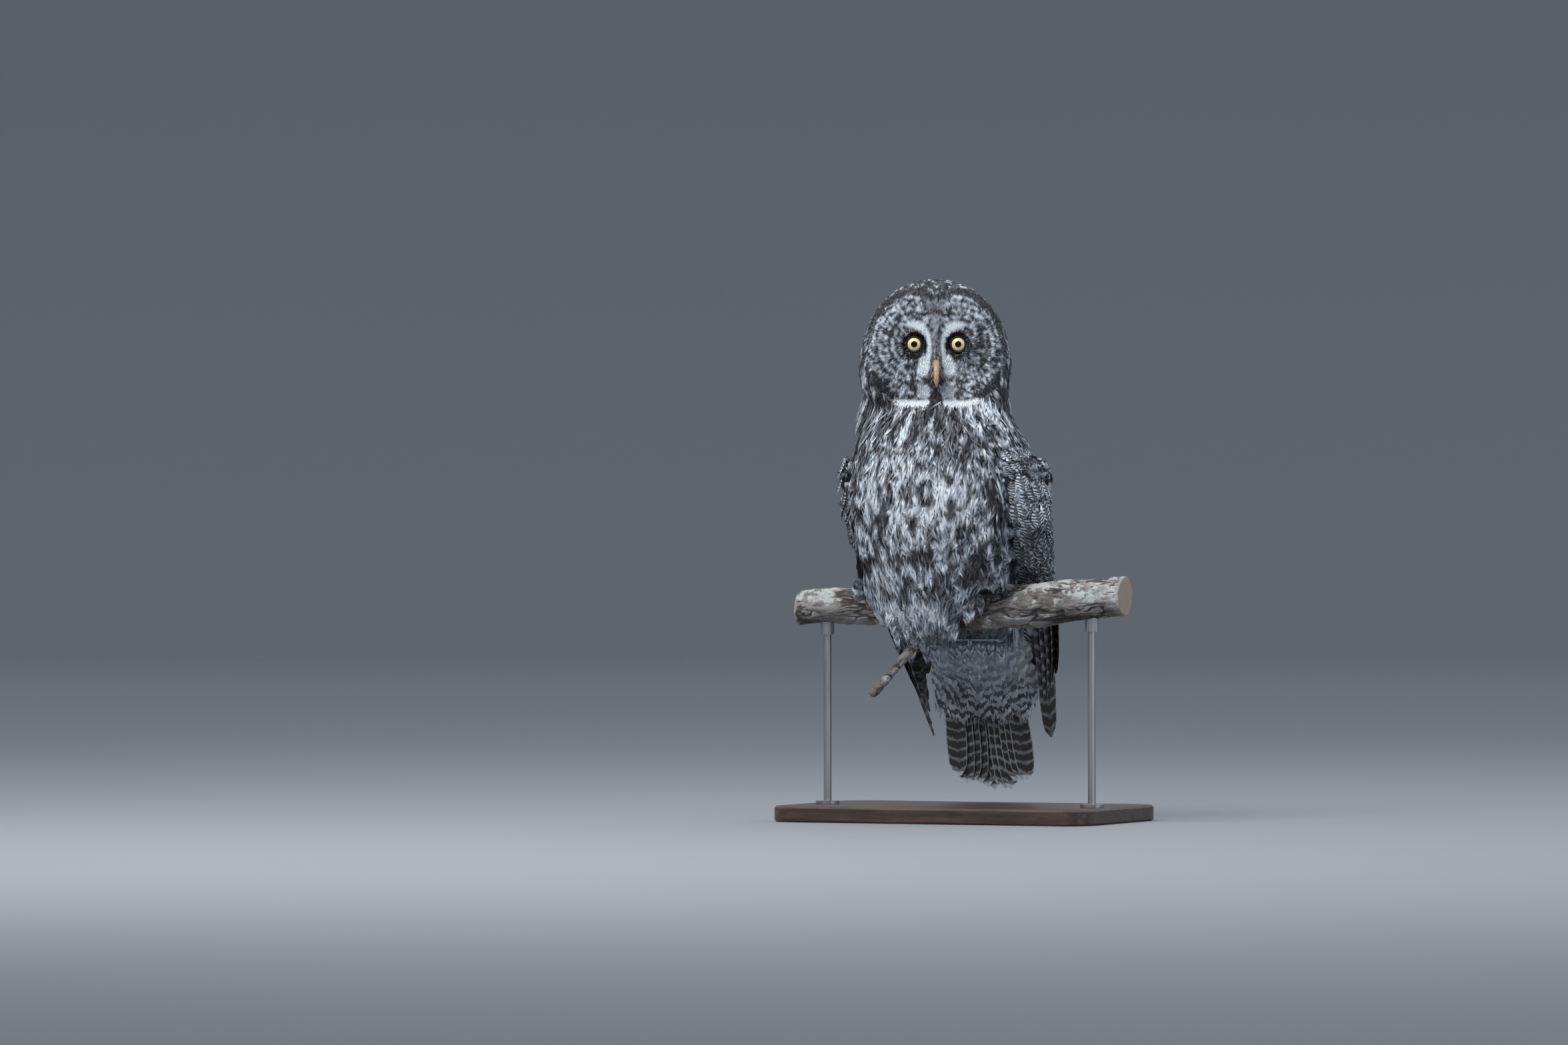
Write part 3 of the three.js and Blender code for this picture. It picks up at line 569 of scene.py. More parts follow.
def featherMaterial(name, **changes):
    look = {**feathering, **changes}
    kit = Kit(name)
    u = kit.add("ShaderNodeSeparateXYZ", {}, [kit.add("ShaderNodeUVMap", {"uv_map": "feather"})])
    v = u.out(1)
    streakPower = kit.add("ShaderNodeSeparateColor", {}, [kit.attribute("style")])
    barPower, seed = streakPower.out(1), streakPower.out(2)
    fromShaft = (u * 2 - 1).op("ABSOLUTE")
    cloud = kit.noise(230.0, 3.0)
    fine = kit.noise(1500.0, 2.0)
    slant = (fromShaft - v * 0.9) * look["barbs"] + seed * 60
    lines = kit.add("ShaderNodeCombineXYZ", {}, [slant, v * 2.5, u * 3])
    barbs = kit.noise(1.0, 3.0, lines, rough=0.65)
    ragged = (cloud - 0.5) * 0.9 + (barbs - 0.5) * 0.8
    reach = look["streak"]
    streak = (fromShaft + ragged + (v - 0.5).op("ABSOLUTE") * 0.3).step(reach + 0.12, reach - 0.12)
    wave = ((v * look["bars"] + fromShaft * 0.35 + seed + ragged * 0.75) * 6.2832).op("SINE")
    bar = wave.step(-look["cover"], 0.5 - look["cover"])
    dusk = ((streak * streakPower).op("MAXIMUM", bar * barPower)).clamped()
    flecks = ((fine - 0.45) * 0.5 + (barbs - 0.47) * 1.2) * look["fleck"]
    ground = kit.mix(flecks, kit.attribute("shade"), look["flecks"])
    colour = kit.mix(dusk * (0.8 + fine * 0.3), ground, look["dark"])
    if look["tip"]:
        pale = (v + (cloud - 0.5) * 0.03 + (barbs - 0.5) * 0.04).step(0.955, 0.972)
        rim = (fromShaft + (barbs - 0.5) * 0.2).step(0.88, 0.97) * look["edge"]
        colour = kit.mix(pale.op("MAXIMUM", rim), colour, look["tip"])
    shaft = fromShaft.step(0.08, 0.02)
    kit.bump(barbs + shaft * 0.4 + fine * 0.3, 0.45, 0.0007)
    return kit.finish(Base_Color=colour, Roughness=0.85)


# Points spread over the skin at an even spacing, thinned by a grid of cells
def scattered(mesh, region, wanted, seed):
    draw = np.random.default_rng(seed)
    spacing = regions[region]["apart"] * mm
    mesh.calc_loop_triangles()
    corners = np.empty(len(mesh.loop_triangles) * 3, int)
    mesh.loop_triangles.foreach_get("vertices", corners)
    corners = corners.reshape(-1, 3)
    places, normals = meshArrays(mesh)
    a, b, c = (places[corners[:, i]] for i in range(3))
    keep = wanted((a + b + c) / 3, normals[corners[:, 0]])
    corners, a, b, c = corners[keep], a[keep], b[keep], c[keep]
    area = np.linalg.norm(np.cross(b - a, c - a), axis=1) / 2
    tries = int(area.sum() / spacing**2 * 3.2)
    pick = draw.choice(len(area), tries, p=area / area.sum())
    s, t = draw.random(tries), draw.random(tries)
    flip = s + t > 1
    s[flip], t[flip] = 1 - s[flip], 1 - t[flip]
    points = a[pick] + (b - a)[pick] * s[:, None] + (c - a)[pick] * t[:, None]
    turns = normals[corners[pick]]
    shares = np.stack([1 - s - t, s, t], axis=1)[..., None]
    mixed = (turns * shares).sum(axis=1)
    cells = {}
    chosen = []
    keys = np.floor(points / spacing).astype(int)
    near = [(i, j, k) for i in (-1, 0, 1) for j in (-1, 0, 1) for k in (-1, 0, 1)]
    limit = spacing * spacing
    plain = points.tolist()
    for n, (i, j, k) in enumerate(keys.tolist()):
        x, y, z = plain[n]
        around = (spot for di, dj, dk in near for spot in cells.get((i + di, j + dj, k + dk), ()))
        if all((px - x) ** 2 + (py - y) ** 2 + (pz - z) ** 2 >= limit for px, py, pz in around):
            cells.setdefault((i, j, k), []).append((x, y, z))
            chosen.append(n)
    return points[chosen], unit(mixed[chosen])


# Left wing's outer face, as in the solids: a height, then x and y of its front edge, middle and back edge
wingSlices = np.array([
    [486, 78, -48, 98, 4, 62, 64], [462, 98, -56, 116, 2, 66, 84], [420, 104, -52, 127, 6, 58, 103],
    [380, 102, -38, 130, 16, 48, 113], [340, 97, -12, 126, 34, 40, 118], [300, 86, 34, 115, 66, 32, 122],
    [250, 80, 60, 104, 92, 30, 126], [200, 72, 92, 96, 116, 42, 138], [150, 70, 118, 88, 138, 56, 152],
    [104, 74, 140, 84, 150, 70, 158],
])


wingTop, wingEnd = wingSlices[0, 0], wingSlices[-1, 0]


def wingPlace(s, t, side):
    # s runs from the wing's front edge to its back edge, t from its top to its tip
    heights = wingSlices[::-1, 0]
    z = wingTop + (wingEnd - wingTop) * t
    column = [np.interp(z, heights, wingSlices[::-1, i]) for i in range(1, 7)]
    f, m, b = (1 - s) * (1 - 2 * s), 4 * s * (1 - s), s * (2 * s - 1)
    x = column[0] * f + column[2] * m + column[4] * b
    y = column[1] * f + column[3] * m + column[5] * b
    return np.stack([side * x, y, z], axis=-1) * mm


def wingFrame(s, t, side):
    inside = np.clip(t, 0.04, 0.96)
    across = wingPlace(s + 0.02, inside, side) - wingPlace(s - 0.02, inside, side)
    down = wingPlace(s, inside + 0.04, side) - wingPlace(s, inside - 0.04, side)
    return unit(np.cross(down, across) * side), unit(down), unit(across)


def inWing(places, grown=0.0, top=464):
    # which places lie within 15 mm of a wing's outer face, or more where grown
    x, y, z = np.abs(places[:, 0]) / mm, places[:, 1] / mm, places[:, 2] / mm
    best = np.full(len(x), 1e3)
    for s in np.linspace(0.03, 0.97, 22):
        t = np.clip((wingTop - z) / (wingTop - wingEnd), 0, 1)
        spot = wingPlace(np.full(len(x), s), t, 1) / mm
        best = np.minimum(best, np.hypot(spot[:, 0] - x, spot[:, 1] - y))
    return (best < 15 + grown) & (z < top) & (z > 225)


def treeOf(*meshes):
    points, faces = [], []
    for mesh in meshes:
        faces += [[index + len(points) for index in face.vertices] for face in mesh.polygons]
        points += [vertex.co.copy() for vertex in mesh.vertices]
    return BVHTree.FromPolygons(points, faces)


# Plumage by region: feather kind, length, half width and spacing in millimetres, lift off the skin as a
# slope, bend as a radius in metres, jitter of the lie in radians, and how deep the root sinks in millimetres
columns = ("kind", "long", "half", "apart", "lift", "bend", "jitter", "sink")
coatTable = {
    "face": ("fine", 6.2, 0.95, 1.45, 0.16, 0.20, 0.20, 0.6),
    "bristle": ("fine", 9.0, 0.7, None, 0.16, 0.06, 0.22, 0.6),
    "crown": ("soft", 10, 2.3, 2.5, 0.14, 0.15, 0.16, 1.0),
    "breast": ("broad", 28, 7.5, 6.0, 0.13, 0.15, 0.14, 1.5),
    "belly": ("broad", 33, 9.5, 7.0, 0.14, 0.15, 0.14, 1.5),
    "skirt": ("broad", 31, 5.5, 4.2, 0.12, 0.15, 0.14, 1.5),
    "back": ("broad", 34, 8.0, 5.6, 0.09, 0.60, 0.14, 1.5),
    "hair": ("fine", 21, 1.5, 3.6, 0.15, 0.10, 0.30, 0.5),
    "foot": ("fine", 7.0, 1.3, 2.3, 0.16, 0.08, 0.12, 0.5),
    "covert": ("round", 22, 8.0, 8.5, 0.07, 0.12, 0.09, 1.5),
    "undertail": ("broad", 1.0, 13, None, 0.07, 0.30, 0.16, 0.5),
}
regions = {name: dict(zip(columns, row)) for name, row in coatTable.items()}


def headLies(places):
    # feathers run back over the crown and down behind and beside the face
    forward = -towardCamera
    up = (places[:, 2] - head["middle"][2]) / (60 * mm)
    down = np.clip(0.95 - 1.1 * up, 0.1, 3.0)
    return forward[None, :] - np.array([0, 0, 1.0])[None, :] * down[:, None]


def faceLies(places):
    across, _, up = inHead(places)
    side = np.where(across > 0, 1.0, -1.0)
    outX, outZ = across - side * head["eyeApart"], up
    middle = np.abs(across) < 9 * mm
    outX = np.where(middle, side * 3 * mm, outX)
    outZ = np.where(middle, np.where(up > -18 * mm, 20 * mm, -12 * mm), outZ)
    flat = toRight[None, :] * outX[:, None]
    flat[:, 2] += outZ
    return flat + towardCamera[None, :] * 0.25 * np.linalg.norm(flat, axis=1, keepdims=True)


def addFace(mesh, material):
    near = lambda p, n: (faceShare(p) < 1.05) & (n @ towardCamera > -0.1)
    roots, normals = scattered(mesh, "face", near, 5)
    across, _, up = inHead(roots)
    clear = np.hypot(np.abs(across) - head["eyeApart"], up) > 9.5 * mm
    roots, normals = roots[clear], normals[clear]
    across, _, up = inHead(roots)
    fromEye = np.hypot(np.abs(across) - head["eyeApart"], up)
    besideBill = smoothstep(np.hypot(across / 10, (up + 0.036) / 24) / mm, 1.25, 0.8)
    eyeLow, eyeHigh = (np.array(corner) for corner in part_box("eye_left"))
    eyeOut, ball = inHead((eyeLow + eyeHigh) / 2)[1], (eyeHigh[2] - eyeLow[2]) / 2
    rounded = np.sqrt(np.maximum(ball**2 - np.minimum(fromEye, 0.0115) ** 2, 0)) + 0.9 * mm
    mound = np.maximum(eyeOut + rounded - inHead(roots)[1], 0) * smoothstep(fromEye, 0.024, 0.0118)
    raised = np.maximum(2.2 * mm * besideBill, mound)
    longer = (1 + 0.7 * besideBill) * (1 - 0.4 * smoothstep(fromEye, 0.017, 0.011))
    roots = roots + towardCamera * raised[:, None]
    tones = 0.5 + rng.normal(0, 0.07, len(roots))
    return coat("faceTufts", material, "face", roots, normals, faceLies(roots), tones, toneAt=faceBrightness,
                longer=longer)


bristles = {"tries": 900, "low": (-7.5, -43), "high": (7.5, -9), "tone": 0.13}


def addBristles(material):
    # stiff dark bristles from between the eyes down over the root of the bill and beside it
    solids = treeOf(*(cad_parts[name].data for name in ("head", "bill_upper", "bill_lower")))
    roots, sides = [], []
    for across, up in rng.uniform(bristles["low"], bristles["high"], (bristles["tries"], 2)):
        overBill = abs(across) < 3.4 + 0.05 * max(0, -up - 31) and up < -30
        if overBill or abs(across) > 4.2 + 0.2 * max(0, -up - 18):
            continue
        start = head["middle"] + (toRight * across + np.array([0, 0, up])) * mm + towardCamera * 0.16
        hit = solids.ray_cast(Vector(start), Vector(-towardCamera), 0.3)[0]
        if hit:
            roots.append(np.array(hit) + towardCamera * 0.2 * mm)
            sides.append(across)
    roots, sides = np.array(roots), np.array(sides)
    lies = toRight[None, :] * (0.05 * sides[:, None]) + np.array([0, 0, -1.0])
    _, _, up = inHead(roots)
    speckle = 0.25 * gridNoise(roots, 0.003, 91) + 0.10 * rng.normal(size=len(roots))
    longer = np.interp(up / mm, [-43, -30, -9], [1, 10 / 9, 1])
    tones = np.clip(bristles["tone"] + speckle, 0, 0.7)
    normals = np.tile(towardCamera, (len(roots), 1))
    return coat("billBristles", material, "bristle", roots, normals, lies, tones, longer=longer)


def addCrown(mesh, material):
    wanted = lambda p, n: (p[:, 2] > 0.528) & (faceShare(p) > 0.99)
    roots, normals = scattered(mesh, "crown", wanted, 6)
    _, forward, up = inHead(roots)
    low = smoothstep(-up, 0.0, 0.05)
    tones = 0.5 + rng.normal(0, 0.06, len(roots))
    style = styled(0.2, 0.2 + 0.1 * low, len(roots))
    behind = smoothstep(-forward, -0.01, 0.04) * smoothstep(-up, 0.01, 0.05)
    return coat("crownFeathers", material, "crown", roots, normals, headLies(roots), tones, style, crownTones,
                longer=1 + 0.9 * low + 1.1 * behind, wider=1 + 0.5 * low)


def crownTones(places):
    # white specks on brown black over the crown, paler and coarser beside and behind the face
    across, forward, height = inHead(places)
    behind = smoothstep(-forward, -0.03, 0.02)
    low = smoothstep(-height, -0.045, 0.03) * (1 - 0.75 * behind)
    long = places * np.array([1, 1, 0.6])
    specks = 0.7 * gridNoise(places, 0.0042, 21) + 0.45 * gridNoise(places, 0.0025, 22)
    coarse = 0.75 * gridNoise(long, 0.0085, 23) + 0.5 * gridNoise(long, 0.0045, 24)
    tone = 0.02 + 0.90 * smoothstep(specks * (1 - low) + coarse * low + 0.08 * low, 0.16, 0.85)
    x, y = np.abs(across) / mm, height / mm
    rim = 1 - smoothstep(lineDistance(x, y, faceMarks["rimTop"], faceMarks["rimWidth"]), -1.5, 1.8)
    cheek = 1 - smoothstep(lineDistance(x, y, faceMarks["crescent"], faceMarks["crescentWidth"]), -1.5, 1.5)
    return tone * (1 - np.maximum(rim, cheek) * (forward > -0.005))


def bodyLies(places, normals):
    lies = np.tile(np.array([0, 0, -1.0]), (len(places), 1))
    lies[:, 1] += np.where(places[:, 1] > 0.03, 0.12, 0.0)
    under = normals[:, 2] < -0.5
    lies[under] = np.stack([normals[under, 0], normals[under, 1], -0.4 * np.ones(under.sum())], axis=1)
    return lies


def bodyTones(places):
    # coarse streaks that fan out down the breast, rounder blotches on the belly, pale fluff below, and
    # painted light on the back wall under the body behind the branch, lifting it out of its shade
    across, z = places @ toRight + 0.0156, places[..., 2]
    fan = across / (0.62 + np.clip(0.53 - z, 0, 0.14) * 2.7)
    depth = places @ towardCamera
    high = smoothstep(z, 0.41, 0.49)
    long = np.stack([fan, z * (0.78 - 0.40 * high), depth], axis=-1)
    blotch = 0.75 * gridNoise(long, 0.0095, 36) + 0.5 * gridNoise(long, 0.0050, 37)
    blotch = blotch + 0.25 * gridNoise(places, 0.034, 38)
    middle = np.exp(-((across - 0.02) / 0.038) ** 2) * smoothstep(z, 0.26, 0.34)
    middle = middle * (1 - smoothstep(z, 0.44, 0.50))
    collar = np.exp(-((across + 0.004) / 0.03) ** 2) * smoothstep(z, 0.47, 0.50)
    blotch = blotch - 0.16 * middle - 0.30 * collar + 0.06 - 0.34 * high
    fluff = 1 - smoothstep(z, 0.25, 0.31)
    tone = 0.05 + 0.95 * smoothstep(blotch, -0.30, 0.42)
    tone = tone + 0.2 * fluff * (1 - tone)
    # painted light: the wall under the body behind the branch lies in shade, and is lifted towards white to
    # make up for it
    under = smoothstep(places[..., 1], 0.01, 0.03) * (1 - smoothstep(z, 0.25, 0.28))
    tone = blend(tone, 1.0, under * 0.8)
    back = (1 - under) * smoothstep(places[..., 1] + 0.01 * gridNoise(places, 0.02, 34), 0.035, 0.06)
    fine = 0.30 + 0.38 * gridNoise(places * np.array([1, 1, 1.6]), 0.0075, 35)
    return blend(tone, fine, back)


def addBody(mesh, material):
    pieces = []
    isBack = lambda p: p[:, 1] > 0.045
    between = lambda p, low, high: (p[:, 2] > low) & (p[:, 2] <= high)
    bands = {
        "breast": lambda p: (p[:, 2] > 0.42) & ~isBack(p),
        "belly": lambda p: between(p, 0.30, 0.42) & ~isBack(p),
        "skirt": lambda p: between(p, 0.228, 0.30),
        "back": lambda p: isBack(p) & (p[:, 2] > 0.30),
    }
    for number, (key, wanted) in enumerate(bands.items()):
        covered = lambda p: belowFace(p) & ~inWing(p, -4) & ~inPocket(p)
        chosen = lambda p, n: wanted(p) & covered(p) & ((n[:, 2] > -0.8) | (p[:, 2] > 0.48))
        roots, normals = scattered(mesh, key, chosen, 50 + number)
        tones = 0.5 + rng.normal(0, 0.07, len(roots))
        high = smoothstep(roots[:, 2], 0.40, 0.50)
        style = styled(0.45 + 0.25 * high, 0.78 - 0.45 * high, len(roots))
        flare = (1.0 - 0.55 * smoothstep(roots[:, 2], 0.47, 0.525)) * shortened(roots, normals)
        bends = np.where(isBack(roots), regions["back"]["bend"], regions["breast"]["bend"])
        lies = bodyLies(roots, normals)
        pieces.append(coat(key + "Feathers", material, key, roots, normals, lies, tones, style, bodyTones,
                           longer=flare, bend=bends))
    covered = lambda p: belowFace(p) & ~isBack(p) & ~inWing(p, -6) & ~inPocket(p)
    chosen = lambda p, n: covered(p) & (n[:, 2] > -0.8) & (p[:, 2] > 0.235)
    roots, normals = scattered(mesh, "hair", chosen, 60)
    tones = 0.53 + rng.normal(0, 0.1, len(roots))
    lies = bodyLies(roots, normals)
    pieces.append(coat("looseHairs", material, "hair", roots + normals * 2.2 * mm, normals, lies, tones,
                       (0, 0, 0.5), bodyTones, longer=shortened(roots, normals)))
    return pieces


def inPocket(places):
    # the hollow that the feet and the branch take out of the plumage, but for its back wall
    y, z = places[:, 1], places[:, 2] - 0.269
    return (np.hypot(y, z) < 0.050) & (y < 0.022)


def belowFace(places):
    return (places[:, 2] < 0.535) & (faceShare(places) > 1.0)


def shortened(places, normals):
    # shorter where the surface faces up or down and beside a wing, so that no feather stands off an edge
    level = 1 - 0.72 * smoothstep(np.abs(normals[:, 2]), 0.45, 0.9)
    return level * np.where(inWing(places, 6, 520), 0.5, 1.0)


# Wing plumage: small coverts in rows from the shoulder down, then long flight feathers under them
wingCoat = {
    "rows": 21, "t": (0.035, 0.60), "rise": (3.4, 2.6), "longer": (1, 2), "wider": (1, 1.4375),
    "overSkin": 0.6, "streaks": 0.8, "bars": 0.96,
}


def addWingCoverts(side, material, skinTree):
    rows = []
    for row in range(wingCoat["rows"]):
        share = row / (wingCoat["rows"] - 1)
        ends = (wingCoat[key] for key in ("t", "rise", "longer", "wider"))
        t, rise, longer, wider = (first + (last - first) * share for first, last in ends)
        edge, middle, back = (wingPlace(s, t, side) for s in (0.05, 0.5, 0.95))
        wide = np.linalg.norm(back - middle) + np.linalg.norm(middle - edge)
        count = max(6, int(wide / (regions["covert"]["apart"] * mm)))
        s = (np.arange(count) + 0.5 + 0.5 * (row % 2)) / count + rng.normal(0, 0.012, count)
        s = np.clip(s, 0.05, 0.95)
        at = np.full(count, t) + rng.normal(0, 0.006, count)
        normal, down, across = wingFrame(s, at, side)
        spots = wingPlace(s, at, side) + normal * (rise - 2) * mm
        for n, (spot, way) in enumerate(zip(spots, normal)):
            hit = skinTree.ray_cast(Vector(spot + way * 0.02), Vector(-way), 0.032)[0]
            if hit:
                spots[n] = np.array(hit) + way * wingCoat["overSkin"] * mm
        lies = down + across * (0.16 + 0.25 * (s[:, None] - 0.5))
        spotted = 0.90 + 0.35 * gridNoise(spots, 0.024, 61) + rng.normal(0, 0.12, count)
        style = styled(wingCoat["streaks"], wingCoat["bars"], count)
        tones = np.clip(spotted - 0.30 * share, 0.1, 1.1)
        rows.append((spots, normal, lies, tones, style, np.full(count, longer), np.full(count, wider)))
    roots, normals, lies, tones, styles, longer, wider = (np.concatenate(part) for part in zip(*rows))
    bends = np.interp(roots[:, 2], [0.38, 0.47], [0.5, regions["covert"]["bend"]])
    return coat("wingCoverts_" + sideName(side), material, "covert", roots, normals, lies, tones, styles,
                longer=longer, wider=wider, bend=bends)


def sideName(side):
    return "left" if side > 0 else "right"


# Long vanes with rounded tips. Each line gives one: start, end, normal, half width, bow, tone and outer side
def longVanes(name, material, lines):
    rays, rows, barPower = 9, 22, 0.97
    count = len(lines)
    uu, vv = np.tile(np.linspace(-1, 1, rays), rows), np.repeat(np.linspace(0, 1, rows), rays)
    taper = np.interp(vv, [0, 0.1, 0.35, 0.75, 0.9, 0.97, 1], [0.3, 0.6, 0.92, 1, 0.86, 0.56, 0.16])
    shaft = 0.35 * mm * np.exp(-(uu / 0.12) ** 2)
    places = np.empty((count, rows * rays, 3))
    for n, line in enumerate(lines):
        start, normal, half = line["start"], line["normal"], line["half"]
        length = np.linalg.norm(line["end"] - start)
        along = (line["end"] - start) / length
        aside = unit(np.cross(normal, along))
        width = half * taper * np.where(uu * line["outer"] > 0, 0.86, 1.0)
        nick = 1 + 0.03 * np.sin(vv * 57 + n * 1.7 + uu * 2) * (np.abs(uu) > 0.9)
        y = vv * length + 0.10 * half * (1 - np.abs(uu)) * (vv > 0.9)
        h = -0.09 * half * uu * uu + line["bow"] * 4 * vv * (1 - vv) + shaft
        places[n] = start + along * y[:, None] + aside * (uu * width * nick)[:, None] + normal * h[:, None]
    tones = np.array([line["tone"] for line in lines])
    shade = darkDown + (paleDown - darkDown) * tones[:, None, None]
    shade = np.broadcast_to(shade, (count, rows * rays, 3))
    style = np.array([(0.35, barPower, 0.3 + 0.07 * rng.random()) for line in lines])
    patch = np.stack([uu * 0.012, vv * 0.05], axis=-1)
    spread = np.stack([0.02 + 0.94 * (np.arange(count) + 0.5) / count, np.full(count, 0.02)], axis=-1)
    feather = np.stack([uu * 0.5 + 0.5, vv], axis=-1)[None]
    home = spread[:, None] + patch[None]
    return featherMesh(name, material, places, gridFaces(rays, rows), shade, style, feather, home)


# Flight feathers: root and tip are s on the wing's face and its change along the row, rootT and reach are t.
# The offs are how far quill and tip stand off that face and the step from feather to feather, in millimetres
quills = {
    "secondaries": {
        "count": 11, "root": (0.22, 0.74), "tip": (0.36, 0.58), "rootT": 0.46, "reach": (0.80, -0.04, -0.02),
        "facingT": 0.62, "rootOff": (0.3, 0.25), "tipOff": (1.2, 0.45), "bow": 2,
    },
    "primaries": {
        "count": 7, "root": (0.12, 0.42), "tip": (0.30, 0.32), "rootT": 0.5, "reach": (1.0, -0.24, 0.0),
        "facingT": 0.75, "rootOff": (-1.5, -0.7), "tipOff": (-1.5, -0.7), "bow": 4,
    },
}


def addFlight(side, material):
    lines = []
    for quill in quills.values():
        for i in range(quill["count"]):
            share = i / (quill["count"] - 1)
            root, tip = (quill[key][0] + quill[key][1] * share for key in ("root", "tip"))
            rootOff, tipOff = ((quill[key][0] + quill[key][1] * i) * mm for key in ("rootOff", "tipOff"))
            first, change, sway = quill["reach"]
            reach = first + change * share + sway * math.sin(share * 9)
            normal = wingFrame(np.array([tip]), np.array([quill["facingT"]]), side)[0][0]
            lines.append({
                "start": wingPlace(root, quill["rootT"], side) + normal * rootOff,
                "end": wingPlace(tip, reach, side) + normal * tipOff, "normal": normal, "half": 12.5 * mm,
                "bow": quill["bow"] * mm, "tone": 0.24 + 0.08 * rng.random(), "outer": side,
            })
    return longVanes("flightFeathers_" + sideName(side), material, lines)


# Tail: root and tip are y and z of its middle line
tail = {
    "root": (103, 232), "tip": (160, 36), "pairs": 6, "half": 17.5, "layer": 0.95, "rootSpread": 7.0,
    "tipSpread": 8.7, "outerShort": 3.2, "quillTop": 215, "bow": 1.5,
}


def tailPlace(x, z, off):
    down = (tail["root"][1] - z) / (tail["root"][1] - tail["tip"][1])
    y = tail["root"][0] + (tail["tip"][0] - tail["root"][0]) * down
    slope = unit(np.array([0.0, tail["root"][1] - tail["tip"][1], tail["tip"][0] - tail["root"][0]]))
    return (np.array([x, y, z]) + slope * off) * mm, slope


def addTail(material):
    lines = []
    for pair in range(tail["pairs"]):
        for side in (-1, 1):
            layer = 2 * pair + (side + 1) / 2
            tipZ = tail["tip"][1] + tail["outerShort"] * pair**2 / tail["pairs"] + rng.uniform(-1, 9)
            off = 5 - tail["layer"] * layer
            start, normal = tailPlace(side * tail["rootSpread"] * (pair + 0.5), tail["quillTop"], off)
            end, normal = tailPlace(side * tail["tipSpread"] * (pair + 0.35), tipZ, off)
            lines.append({
                "start": start, "end": end, "normal": normal, "half": (tail["half"] - 0.4 * pair) * mm,
                "bow": tail["bow"] * mm, "tone": 0.36 + 0.1 * rng.random(), "outer": side,
            })
    return longVanes("tailFeathers", material, lines)


# Loose coverts over (back) and under (front) the root of the tail, hanging in rows
tailCoat = {
    "top": 262, "reach": 62, "long": (38, 58),
    "front": {"rows": 12, "across": 13, "lowest": 172, "tone": 1.0, "lifted": 3},
    "back": {"rows": 8, "across": 11, "lowest": 195, "tone": 0.5, "lifted": -1},
}


def addTailCoverts(material):
    rows = []
    for key, front in (("front", -1), ("back", 1)):
        face, wide = tailCoat[key], tailCoat["reach"]
        for row in range(face["rows"]):
            z = tailCoat["top"] - (tailCoat["top"] - face["lowest"]) * row / (face["rows"] - 1)
            for i in range(face["across"]):
                even = (2 * (i + 0.5 * (row % 2)) + 1) / face["across"] - 1
                x = wide * even * (1 - 0.1 * row / face["rows"]) + rng.normal(0, 2)
                if abs(x) > wide:
                    continue
                off = front * (15.5 - 2.2 * row / face["rows"] - 4.5 * (x / wide) ** 2) + face["lifted"]
                place, slope = tailPlace(x, z, off)
                length = rng.uniform(*tailCoat["long"])
                tone = (0.80 + 0.14 * rng.normal() + 0.2 * (z > 205)) * face["tone"]
                rows.append((place, slope * front, (x * 0.0022, 0.28, -1.0), length, tone))
    roots, normals, lies, lengths, tones = (np.array(part) for part in zip(*rows))
    bars = np.interp(roots[:, 2], [0.18, 0.22], [0.95, 0.55])
    style = styled(0.35, bars, len(roots))
    normals = unit(normals)
    return coat("tailCoverts", material, "undertail", roots, normals, lies, tones, style, longer=lengths)


# Eyes: a wet ball with a pale yellow iris round a black pupil, radii in millimetres
eyes = {
    "pupil": 4.1, "iris": 8.1, "lid": 9.8, "yellow": (0.60, 0.44, 0.17), "pale": (0.80, 0.66, 0.36),
    "black": (0.004, 0.004, 0.005), "dark": (0.006, 0.006, 0.007),
}


def addEye(side):
    label = sideName(side)
    low, high = (np.array(corner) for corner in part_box("eye_" + label))
    middle, radius = (low + high) / 2, (high[2] - low[2]) / 2
    bm = bmesh.new()
    bmesh.ops.create_uvsphere(bm, u_segments=48, v_segments=32, radius=radius)
    bmesh.ops.rotate(bm, verts=bm.verts, matrix=Matrix.Rotation(math.pi / 2, 3, "X"), cent=(0, 0, 0))
    bmesh.ops.rotate(bm, verts=bm.verts, matrix=Matrix.Rotation(view["turn"], 3, "Z"), cent=(0, 0, 0))
    bmesh.ops.translate(bm, verts=bm.verts, vec=middle)
    kit = Kit("eye_" + label)
    off = kit.add("ShaderNodeVectorMath", {"operation": "SUBTRACT"}, [kit.coords(), tuple(middle)])
    forward = kit.add("ShaderNodeVectorMath", {"operation": "DOT_PRODUCT"}, [off, tuple(towardCamera)], out=1)
    whole = kit.add("ShaderNodeVectorMath", {"operation": "LENGTH"}, [off], out=1)
    fromAxis = (whole * whole - forward * forward).op("MAXIMUM", 0.0).op("SQRT") / mm
    streaks = kit.noise(900.0, 3.0)
    ring = fromAxis.step(eyes["pupil"] - 0.25, eyes["pupil"] + 0.25)
    outer = fromAxis.step(eyes["iris"] - 0.5, eyes["iris"] + 0.25)
    glow = fromAxis.step(eyes["pupil"], eyes["iris"])
    yellow = kit.mix((streaks - 0.3) * 0.7 + glow * 0.2, eyes["pale"], eyes["yellow"])
    colour = kit.mix(outer, kit.mix(ring, eyes["black"], yellow), eyes["dark"])
    material = kit.finish(Base_Color=colour, Roughness=0.08, Specular_IOR_Level=0.3)
    piece = meshPiece("owlEye_" + label, bm, material)
    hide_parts("eye_" + label)
    return piece


